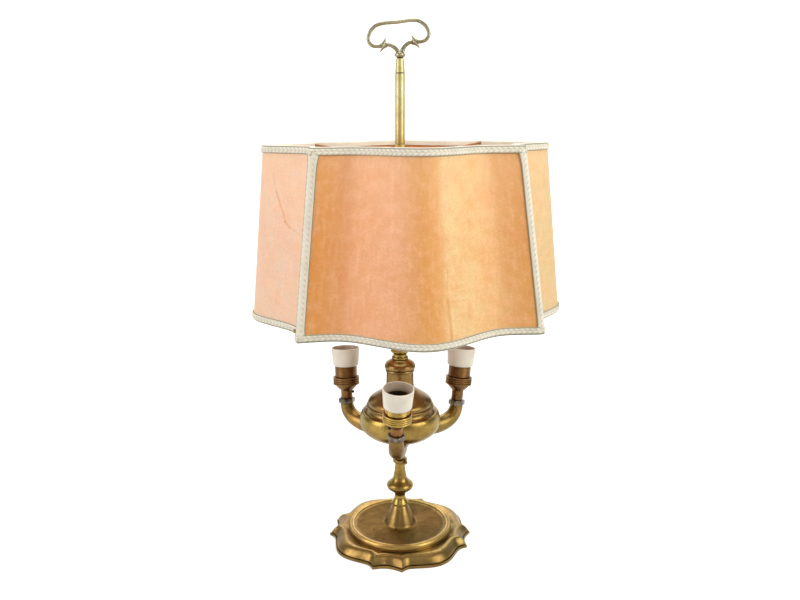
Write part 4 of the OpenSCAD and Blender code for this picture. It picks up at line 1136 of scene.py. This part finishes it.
class LampColours(bpy.types.PropertyGroup):
    """Colours of the finishes."""

    brass: colour_of("Brass", "Polished brass of font and stem", (0.345, 0.235, 0.062))
    brass_dark: colour_of("Brass tarnish", "Tarnish on the brass", (0.165, 0.095, 0.026))
    bright: colour_of("Bright brass", "Front holder", (0.54, 0.37, 0.09))
    bright_dark: colour_of("Bright brass tarnish", "Tarnish on the bright brass", (0.30, 0.19, 0.05))
    rod: colour_of("Rod brass", "Tube over the rod, bush and ferrule", (0.58, 0.54, 0.29))
    rod_dark: colour_of("Rod tarnish", "Tarnish on the tube", (0.42, 0.36, 0.15))
    handle: colour_of("Handle brass", "Loop handle, leaves and bead", (0.40, 0.37, 0.24))
    handle_dark: colour_of("Handle tarnish", "Tarnish on the handle", (0.15, 0.13, 0.07))
    # Brown brass is partly a painted dark reflection of the shade on the font's shoulder
    shoulder: colour_of("Brown brass", "Upper font and stop collar", (0.28, 0.18, 0.06))
    shoulder_dark: colour_of("Brown tarnish", "Tarnish on those", (0.14, 0.072, 0.024))
    bronze: colour_of("Bronze", "Foot", (0.295, 0.188, 0.06))
    bronze_dark: colour_of("Bronze tarnish", "Tarnish on the foot", (0.135, 0.08, 0.025))
    chestnut: colour_of("Chestnut brass", "Left and right holders", (0.23, 0.12, 0.042))
    chestnut_dark: colour_of("Chestnut tarnish", "Tarnish on those holders", (0.115, 0.056, 0.022))
    steel: colour_of("Steel", "Washer and nut in the foot", (0.33, 0.30, 0.255))
    ring: colour_of("Ring white", "White shade rings", (0.88, 0.84, 0.72))
    paper: colour_of("Parchment", "Sides of the back panel", (0.88, 0.50, 0.23))
    paper_dark: colour_of("Parchment clouds", "Mottling of the front panel", (0.76, 0.34, 0.12))
    thread: colour_of("Braid thread", "First tone of the braid", (0.86, 0.82, 0.69))
    thread_second: colour_of("Braid second thread", "Second tone of the braid", (0.68, 0.65, 0.53))


class LampPiece:
    """What the operators share."""

    bl_options = {"REGISTER", "UNDO"}

    def run(self, sizes, colours):
        raise NotImplementedError

    def execute(self, context):
        self.run(context.scene.lamp_sizes, context.scene.lamp_colours)
        return {"FINISHED"}


# Bands of each panel: place across it and colour. Each panel has its own tones, partly the parchment's
# colour and partly painted light and shade of the lit, curved sheet, above all the pale band right of the
# front's middle
FRONT_BANDS_AND_LIGHT = (
    (0.2, (0.775, 0.362, 0.09)),
    (0.3, (0.84, 0.435, 0.23)),
    (0.4, (0.88, 0.475, 0.27)),
    (0.49, (0.74, 0.385, 0.107)),
    (0.535, (0.765, 0.41, 0.13)),
    (0.56, (0.82, 0.615, 0.305)),
    (0.64, (0.805, 0.57, 0.27)),
    (0.72, (0.805, 0.50, 0.22)),
    (0.82, (0.755, 0.393, 0.116)),
)
BACK_BANDS_AND_LIGHT = (
    (0.34, (0.97, 0.63, 0.35)),
    (0.46, (0.86, 0.49, 0.21)),
    (0.58, (0.98, 0.70, 0.40)),
    (0.74, (0.95, 0.61, 0.31)),
)
ROSY_BANDS_AND_LIGHT = ((0.1, (0.80, 0.585, 0.43)), (0.9, (0.825, 0.60, 0.465)))
CREAM_BANDS_AND_LIGHT = ((0.1, (0.75, 0.555, 0.285)), (0.9, (0.71, 0.575, 0.32)))
# Cracks in a panel: from, to, width and depth
FRONT_CRACKS = (
    ((0.0218, 0.085), (0.0222, 0.05), 0.001, 0.35),
    ((0.0222, 0.053), (0.0245, 0.008), 0.0028, 0.6),
    ((0.0128, 0.052), (0.048, 0.047), 0.0012, 0.3),
    ((0.083, 0.163), (0.112, 0.141), 0.001, 0.25),
)
LEFT_CRACKS = (
    ((0.031, 0.18), (0.037, 0.159), 0.0012, 0.35),
    ((0.037, 0.159), (0.051, 0.125), 0.0016, 0.6),
    ((0.051, 0.125), (0.057, 0.119), 0.0022, 0.6),
    ((0.057, 0.119), (0.082, 0.106), 0.0012, 0.4),
)
# Dark spots on the dish
DISH_SPOTS = (
    (0.0353, 0.0346, 0.0184),
    (0.0507, 0.0316, 0.0184),
    (-0.035, -0.0201, 0.0184),
    (-0.0054, -0.0217, 0.0195),
)
# Dish floor: radii and darker tint, partly dull patina and partly a painted dark reflection
DISH_FLOOR_PATINA_AND_REFLECTION = (0.0200, 0.0250, 0.0615, (0.64, 0.55, 0.38))
# Radius and tint of a painted highlight on the dish's raised rim
DISH_RIM_HIGHLIGHT = (0.0622, (1.75, 1.75, 1.65))
# Height of the ferrule's seam, and heights and tint of a painted orange reflection of the shade low on the
# tube
FERRULE_SEAM, ROD_LOW_REFLECTION = 0.6121, (0.53, 0.58, (0.86, 0.72, 0.5))


class LAMP_OT_finishes(LampPiece, bpy.types.Operator):
    """Makes the finishes"""

    bl_idname = "lamp.finishes"
    bl_label = "Finishes"

    def run(self, sizes, colours):
        self.metals(colours)
        glaze("ring_white", tuple(colours.ring), tint(colours.ring, 0.9), 0.35)
        # Darker taupe copy of the white ware for the ring's inner faces: painted shade
        glaze("ring_inside", (0.56, 0.48, 0.38), (0.44, 0.36, 0.28), 0.45)
        glaze("inner_porcelain", (0.20, 0.16, 0.13), (0.12, 0.10, 0.08), 0.4, cad=True)
        sheathing("lead_cover", (0.02, 0.02, 0.02))
        paper = tuple(colours.paper)
        # back panel bands, like the front's: partly colour, partly painted light
        back = ((0.1, paper), *BACK_BANDS_AND_LIGHT, (0.9, paper))
        parchment("parchment_front", FRONT_BANDS_AND_LIGHT, tuple(colours.paper_dark), FRONT_CRACKS)
        parchment("parchment_left", ROSY_BANDS_AND_LIGHT, (0.84, 0.46, 0.27), LEFT_CRACKS)
        parchment("parchment_right", CREAM_BANDS_AND_LIGHT, (0.76, 0.45, 0.20))
        parchment("parchment_plain", back, (0.84, 0.44, 0.18), through=0.5)
        second, soil_and_shade = tuple(colours.thread_second), (0.20, 0.18, 0.12)
        woven("braid_thread", tuple(colours.thread), second, soil_and_shade)
        woven("braid_ground", tint(colours.thread, 0.9), second, soil_and_shade)
        woven("wire_tape", (0.80, 0.62, 0.42), (0.66, 0.50, 0.33), (0.30, 0.16, 0.07))
        # Dark orange-brown of the shade's shaded, glowing inside for its wires: painted shade
        woven("wire_inside", (0.46, 0.22, 0.10), (0.38, 0.18, 0.08), (0.2, 0.09, 0.04))
        # Dark olive edge cords: partly the cord's colour, partly a painted shadow line along the braid
        woven("braid_edge", (0.33, 0.30, 0.19), (0.38, 0.35, 0.23), (0.08, 0.07, 0.04))

    def metals(self, colours):
        def pair(key):
            return tuple(getattr(colours, key)), tuple(getattr(colours, key + "_dark"))

        steel = tuple(colours.steel)
        spun = {"pits": 0.08, "lumps": 0.02, "tooling": 0.03}
        worn = {"rough": (0.26, 0.44), "green": 0.4}
        dish = {"soil_and_shade": 0.2, "marks": DISH_SPOTS, "floor": DISH_FLOOR_PATINA_AND_REFLECTION, "rim": DISH_RIM_HIGHLIGHT}
        plain = {"cad": True, "tooling": 0.03}
        rod = {"rough": (0.42, 0.56), "tooling": 0.02, "pits": 0.1, "seam": FERRULE_SEAM, "low": ROD_LOW_REFLECTION}
        nut = {"rough": (0.2, 0.42), "tooling": 0.03, "tarnish": (0.4, 0.56), "lumps": 0.9}
        metal("aged_brass", *pair("brass"), green=0.6, lumps=0.05)
        # Darker brown brass: partly its tone, partly a painted dark reflection of the shade on the font's
        # shoulder
        metal("brown_brass", *pair("shoulder"), green=0.3)
        metal("bright_brass", *pair("bright"), rough=(0.24, 0.4), **spun)
        metal("rod_brass", *pair("rod"), **rod)
        metal("handle_brass", *pair("handle"), rough=(0.25, 0.42), tooling=0.02)
        metal("foot_bronze", *pair("bronze"), soil_and_shade=0.5, **worn)
        metal("dish_bronze", *pair("bronze"), **dish, **worn)
        metal("chestnut_brass", *pair("chestnut"), rough=(0.3, 0.5), **spun)
        metal("cup_brown", (0.30, 0.15, 0.045), (0.15, 0.07, 0.022), rough=(0.3, 0.5), **spun)
        # Very dark brown for the inner faces of the shells: painted shade
        metal("socket_brown", (0.10, 0.07, 0.045), (0.05, 0.035, 0.025), rough=(0.5, 0.7))
        metal("arm_brass", (0.27, 0.17, 0.05), (0.13, 0.07, 0.022), rough=(0.28, 0.46), green=0.5)
        metal("nut_steel", (0.27, 0.225, 0.175), (0.07, 0.055, 0.042), **nut)
        metal("inner_steel", steel, tint(steel, 0.5), rough=(0.35, 0.55), **plain)
        metal("inner_brass", *pair("brass"), **plain)
        metal("chestnut_screw", *pair("chestnut"), **plain)
        metal("black_screw", (0.03, 0.028, 0.026), (0.012, 0.011, 0.010), rough=(0.35, 0.55), **plain)


class LAMP_OT_foot(LampPiece, bpy.types.Operator):
    """Makes the scalloped foot and its dished top"""

    bl_idname = "lamp.foot"
    bl_label = "Foot"

    def run(self, sizes, colours):
        seat(foot_ring(), "base", "aged_bronze", "foot_bronze", "foot_ring")
        dish = turned("foot_dish_turned", dish_outline(), sizes.steps)
        seat(dish, "base", "aged_bronze", "dish_bronze", "foot_dish")


class LAMP_OT_stem(LampPiece, bpy.types.Operator):
    """Makes the stem, the stop collar and the tube over the rod"""

    bl_idname = "lamp.stem"
    bl_label = "Stem and tube"

    def run(self, sizes, colours):
        seat(turned("stem_turned", stem_outline(), sizes.steps), "base", "brass", "aged_brass", "stem")
        top = STOP_Z + STOP_H
        outline = [(BORE, STOP_Z), (STOP_R, STOP_Z), (STOP_R, top), (BORE, top)]
        collar = turned("stop_collar_turned", outline, sizes.steps, edge=0.9)
        seat(collar, "base", "old_brass", "brown_brass", "stop_collar")
        outline = [(BORE, TUBE_Z), (TUBE_R, TUBE_Z), (TUBE_R, TUBE_TOP), (BORE, TUBE_TOP)]
        tube = turned("column_tube_drawn", outline, 64, edge=0.7)
        seat(tube, "base", "bright_brass", "rod_brass", "column_tube")


class LAMP_OT_font(LampPiece, bpy.types.Operator):
    """Makes the five turned pieces of the font"""

    bl_idname = "lamp.font"
    bl_label = "Font"

    def run(self, sizes, colours):
        for name, outline, slot, finish in (
            ("bowl", bowl_outline(), "brass", "aged_brass"),
            ("shoulder", shoulder_outline(), "brass", "brown_brass"),
            ("chimney", chimney_outline(), "brass", "brown_brass"),
            ("cap", cap_outline(), "brass", "brown_brass"),
            ("bell", bell_outline(), "bright_brass", "aged_brass"),
        ):
            piece = turned("font_" + name + "_turned", outline, sizes.steps)
            seat(piece, "font", slot, finish, "font_" + name)


class LAMP_OT_arms(LampPiece, bpy.types.Operator):
    """Makes the three curved arms and their lock nuts"""

    bl_idname = "lamp.arms"
    bl_label = "Arms"

    def run(self, sizes, colours):
        for i, holder in enumerate(HOLDERS):
            line, radii = arm_line(i)
            arm = bars("arm_" + holder[0] + "_cast", [line], [radii], "arm_brass", sides=48)
            seat(arm, "font", "brass", None, "arm_" + holder[0])
        nut = hex_nut("nut_source", NUT_AF, NUT_H)
        spin = [holder_place(i) @ Matrix.Rotation(radians(17 * i), 4, "Z") for i in range(3)]
        facing, along = [[tuple(m.col[axis][:3]) for m in spin] for axis in (2, 0)]
        points = line_object("lock_nuts", [[m.translation] for m in spin], facing=facing, along=along)
        nuts = grown("lock_nuts", points, "copies", Source=nut, Material=FINISHES["nut_steel"])
        bpy.data.objects.remove(nut)
        seat(nuts, "font", "steel", None, "arm_nuts")


class LAMP_OT_holders(LampPiece, bpy.types.Operator):
    """Makes the caps, ribbed bands and shells of the lampholders"""

    bl_idname = "lamp.holders"
    bl_label = "Lampholders"

    def run(self, sizes, colours):
        for i, holder in enumerate(HOLDERS):
            slot, finish = ("bright_brass", "bright_brass") if i == 0 else ("old_brass", "chestnut_brass")
            for part, outline in (
                ("cap", holder_cap_outline(i)),
                ("band", holder_band_outline()),
                ("shell", holder_shell_outline()),
            ):
                name = "holder_" + part + "_" + holder[0]
                piece = turned(name + "_spun", outline, 96, neck_place(i), 0.15)
                seat(piece, "font", slot, "cup_brown" if i == 0 and part == "cap" else finish, name)
                if part == "shell":
                    # inner faces of the shell get painted shade
                    paint_shade_inside(piece, i, "socket_brown")


class LAMP_OT_rings(LampPiece, bpy.types.Operator):
    """Makes the white shade rings"""

    bl_idname = "lamp.rings"
    bl_label = "Shade rings"

    def run(self, sizes, colours):
        for i, holder in enumerate(HOLDERS):
            name = "shade_ring_" + holder[0]
            ring = turned(name + "_moulded", ring_outline(i), 128, neck_place(i), 0.4)
            seat(ring, "ring_" + holder[0], "ring_white", "ring_white", name)
            # inner faces of the ring get painted shade
            paint_shade_inside(ring, i, "ring_inside")


class LAMP_OT_carrier(LampPiece, bpy.types.Operator):
    """Makes the bush on the rod and the wires of the shade's rims"""

    bl_idname = "lamp.carrier"
    bl_label = "Shade carrier"

    def run(self, sizes, colours):
        bore, sleeve = TUBE_R + SLIP, TUBE_R + SLEEVE_T
        flange, ledge = sleeve + SLIP + FLANGE_W, HUB_Z + FLANGE_H
        outline = [(bore, HUB_Z), (flange, HUB_Z), (flange, ledge)]
        outline += [(sleeve, ledge), (sleeve, RIM_TOP_Z), (bore, RIM_TOP_Z)]
        bush = turned("hub_sleeve_turned", outline, 96, edge=0.3)
        seat(bush, "shade_hub", "brass", "rod_brass", "hub_sleeve")
        wall = ShadeWall(sizes.wall_steps)
        share = (WIRE_R + 0.5) / SHADE_H
        for name, s in (("bottom", share), ("top", 1 - share)):
            radii = [[WIRE_R * MM] * wall.count]
            wire = bars("rim_wire_" + name, [wall.round(s, -WIRE_IN)], radii, "wire_tape", True, 12)
            seat(wire, "shade", "steel", None, "shade_" + name + "_wire")


class LAMP_OT_panels(LampPiece, bpy.types.Operator):
    """Makes the four parchment panels"""

    bl_idname = "lamp.panels"
    bl_label = "Parchment panels"

    def run(self, sizes, colours):
        wall = ShadeWall(sizes.wall_steps)
        finishes = ("parchment_front", "parchment_right", "parchment_plain", "parchment_left")
        for side, name in enumerate(SIDES):
            seat(panel_mesh(side, wall), "shade", "parchment", finishes[side], "panel_" + name)


class LAMP_OT_braid(LampPiece, bpy.types.Operator):
    """Makes the braid on rims and ribs"""

    bl_idname = "lamp.braid"
    bl_label = "Braid"

    def run(self, sizes, colours):
        wall = ShadeWall(sizes.wall_steps)
        source = strand(sizes.strand_length, sizes.strand_width, STRAND_T)
        share = RIM_BRAID / SHADE_H
        for name, low, high in (("top", 1 - share, 1), ("bottom", 0, share)):
            braid = rim_braid("braid_on_" + name, low, high, wall, source, sizes)
            seat(braid, "shade", "braid", None, "braid_" + name)
        seat(rib_braid(wall, source, sizes), "shade", "braid", None, "braid_ribs")
        bpy.data.objects.remove(source)


class LAMP_OT_finial(LampPiece, bpy.types.Operator):
    """Makes the ferrule, the bead, the loop handle and its leaves"""

    bl_idname = "lamp.finial"
    bl_label = "Finial and handle"

    def run(self, sizes, colours):
        z, top, r = TUBE_TOP + 0.3, TUBE_TOP + 17.1, TUBE_R
        outline = [(STUB_R, z), (r - 0.3, z), (r - 0.2, z + 0.6), (r - 1.1, top - 1.5), (r - 1.4, top)]
        outline += [(0, top), (0, z + 9.5), (STUB_R, z + 9)]
        ferrule = turned("finial_ferrule_turned", outline, 64, edge=0.3)
        seat(ferrule, "finial", "bright_brass", "rod_brass", "finial_ferrule")
        outline = [(0, BEAD_Z)]
        for t in [radians(-BEAD_CUT + 2 * BEAD_CUT * k / 24) for k in range(25)]:
            up = BEAD_H / 2 * (1 + sin(t) / sin(radians(BEAD_CUT)))
            outline.append((BEAD_R * cos(t), BEAD_Z + up))
        outline.append((0, BEAD_Z + BEAD_H))
        bead = turned("finial_bead_turned", outline, 64, edge=0)
        seat(bead, "finial", "bright_brass", "handle_brass", "finial_bead")
        line, radii = loop_line()
        loop = bars("loop_handle_bent", [line], [radii], "handle_brass", sides=24)
        seat(loop, "finial", "bright_brass", None, "loop_handle")
        leaves = bars("handle_leaf_spikes", *leaf_lines(), "handle_brass")
        seat(leaves, "finial", "bright_brass", None, "handle_leaves")


class LAMP_OT_inner(LampPiece, bpy.types.Operator):
    """Finishes the pieces of the frame that stay as they are"""

    bl_idname = "lamp.inner"
    bl_label = "Inner pieces"

    def run(self, sizes, colours):
        cores = ["holder_core_" + holder[0] for holder in HOLDERS]
        dress_nodes("inner_steel", "foot_washer", "foot_nut")
        # spider and rib wires take the painted shade of the shade's inside
        dress_nodes("wire_inside", "shade_spider", "shade_rib_wires")
        dress_nodes("inner_brass", "tie_rod", "arm_nipples", "holder_contacts", "shade_stud")
        dress_nodes("inner_porcelain", "terminal_ring", *cores)
        dress_nodes("chestnut_screw", "hub_screw", "stop_screw")
        dress_nodes("black_screw", "holder_screws")
        dress_nodes("lead_cover", "arm_leads")


# Studio, in metres: name, place, height it looks at, size, power and tint of each light
LIGHTS = (
    ("key_right", (1.25, -0.75, 0.95), 0.35, (0.9, 1.2), 17.4, (1.0, 0.97, 0.92)),
    ("key_left", (-1.3, -0.55, 0.8), 0.35, (0.9, 1.2), 13.4, (1.0, 0.95, 0.94)),
    ("overhead", (0.0, 0.1, 1.9), 0.3, (1.4, 1.4), 14, (1, 1, 1)),
    ("front_high", (0.0, -1.05, 1.45), 0.25, (0.4, 0.4), 1.4, (1.0, 0.98, 0.95)),
    ("front_low", (-0.03, -1.3, 0.7), 0.2, (0.12, 0.12), 0.8, (1.0, 0.98, 0.95)),
    ("behind", (0.15, 1.0, 1.15), 0.45, (1.2, 0.7), 9.0, (1.0, 0.97, 0.93)),
)
# Camera: place, dip in degrees, and its focal length and picture width in pixels
CAMERA_AT, CAMERA_DIP, FOCUS, PICTURE_W, SENSOR = (0, -1.0253, 0.5736), 13.304, 820.7, 800, 36
# Floor that sweeps up: its half width, front and bend, the bend's radius and its top
SWEEP_W, SWEEP_FRONT, SWEEP_BEND, SWEEP_R, SWEEP_TOP = 3.0, -2.2, 1.2, 0.8, 3.0
# Glow of the floor: distances between which it rises, and its strength at both
FLOOR_GLOW = (0.3, 1.1, 0.66, 1.0)


class LAMP_OT_stage(LampPiece, bpy.types.Operator):
    """Makes the floor, the light and the camera"""

    bl_idname = "lamp.stage"
    bl_label = "Studio"

    def run(self, sizes, colours):
        scene = bpy.context.scene
        scene.view_settings.view_transform = "Standard"
        self.backdrop()
        self.world(scene)
        for light in LIGHTS:
            self.lamp(*light)
        camera = add_object("camera", bpy.data.cameras.new("camera"))
        camera.location = CAMERA_AT
        camera.rotation_euler = (radians(90 - CAMERA_DIP), 0, 0)
        camera.data.sensor_fit = "HORIZONTAL"
        camera.data.sensor_width = SENSOR
        camera.data.lens = FOCUS / PICTURE_W * SENSOR
        camera.data.clip_start = 0.01
        scene.camera = camera

    def backdrop(self):
        """Floor that sweeps up behind the object."""
        path = [(SWEEP_FRONT, 0.0), (SWEEP_BEND, 0.0)]
        for t in quarter(12)[1:]:
            path.append((SWEEP_BEND + SWEEP_R * sin(t), SWEEP_R - SWEEP_R * cos(t)))
        path.append((SWEEP_BEND + SWEEP_R, SWEEP_TOP))
        bm = bmesh.new()
        rows = [[bm.verts.new((x, y, z)) for x in (-SWEEP_W, SWEEP_W)] for y, z in path]
        for a, b in zip(rows, rows[1:]):
            bm.faces.new((a[0], a[1], b[1], b[0]))
        sweep = add_object("floor_sweep", close_mesh("floor_sweep", bm, 60))
        t, shader, output = finish_tree("floor_paper")
        feed(t, shader, Base_Color=(0.45, 0.44, 0.43, 1), Roughness=0.9, Specular_IOR_Level=0.0)
        rays = t.add("ShaderNodeLightPath").outputs
        seen = t.math("MAXIMUM", rays["Is Camera Ray"], rays["Is Glossy Ray"])
        seen = t.math("MAXIMUM", seen, rays["Is Transmission Ray"])
        away = t.vector("LENGTH", object_axes(t))
        strength = t.math("MULTIPLY", seen, span(t, away, *FLOOR_GLOW))
        glow = t.add("ShaderNodeEmission", Color=(1.0, 0.997, 0.99, 1), Strength=strength)
        both = t.add("ShaderNodeAddShader", shader.outputs[0], glow.outputs[0])
        t.put(output.inputs["Surface"], both.outputs[0])
        dress(sweep, "floor_paper")

    def world(self, scene):
        """Dim warm light all round, seen as white paper by the camera."""
        world = bpy.data.worlds.new("studio")
        scene.world = world
        world.use_nodes = True
        world.node_tree.nodes.clear()
        t = Tree(world.node_tree)
        seen = t.add("ShaderNodeLightPath").outputs["Is Camera Ray"]
        sky = t.add("ShaderNodeBackground", Color=(1.0, 0.98, 0.95, 1), Strength=0.3)
        paper = t.add("ShaderNodeBackground", Color=(1, 1, 1, 1), Strength=1.0)
        both = t.add("ShaderNodeMixShader", seen, sky.outputs[0], paper.outputs[0])
        t.add("ShaderNodeOutputWorld", Surface=both.outputs[0])

    def lamp(self, name, place, height, size, power, tone):
        light = bpy.data.lights.new(name, "AREA")
        light.shape = "RECTANGLE"
        light.size, light.size_y = size
        light.energy = power
        light.color = tone
        obj = add_object(name, light)
        obj.visible_camera = False
        obj.location = place
        obj.rotation_euler = (Vector((0, 0, height)) - Vector(place)).to_track_quat("-Z", "Y").to_euler()


PIECES = (
    LAMP_OT_stage,
    LAMP_OT_finishes,
    LAMP_OT_foot,
    LAMP_OT_stem,
    LAMP_OT_font,
    LAMP_OT_arms,
    LAMP_OT_holders,
    LAMP_OT_rings,
    LAMP_OT_carrier,
    LAMP_OT_panels,
    LAMP_OT_braid,
    LAMP_OT_finial,
    LAMP_OT_inner,
)


class LAMP_PT_side(bpy.types.Panel):
    """Lists the pieces of the lamp with its sizes and colours"""

    bl_idname = "LAMP_PT_side"
    bl_label = "Table lamp"
    bl_space_type = "VIEW_3D"
    bl_region_type = "UI"
    bl_category = "Lamp"

    def draw(self, context):
        layout = self.layout
        for piece in PIECES:
            layout.operator(piece.bl_idname)
        for group in (context.scene.lamp_sizes, context.scene.lamp_colours):
            box = layout.box()
            for key in group.bl_rna.properties.keys():
                if key not in ("rna_type", "name"):
                    box.prop(group, key)


CLASSES = (LampSizes, LampColours, *PIECES, LAMP_PT_side)


def register():
    for cls in CLASSES:
        bpy.utils.register_class(cls)
    bpy.types.Scene.lamp_sizes = bpy.props.PointerProperty(type=LampSizes)
    bpy.types.Scene.lamp_colours = bpy.props.PointerProperty(type=LampColours)


def unregister():
    del bpy.types.Scene.lamp_colours
    del bpy.types.Scene.lamp_sizes
    for cls in reversed(CLASSES):
        bpy.utils.unregister_class(cls)


def main():
    register()
    for piece in PIECES:
        group, name = piece.bl_idname.split(".")
        getattr(getattr(bpy.ops, group), name)()


if __name__ == "__main__":
    main()
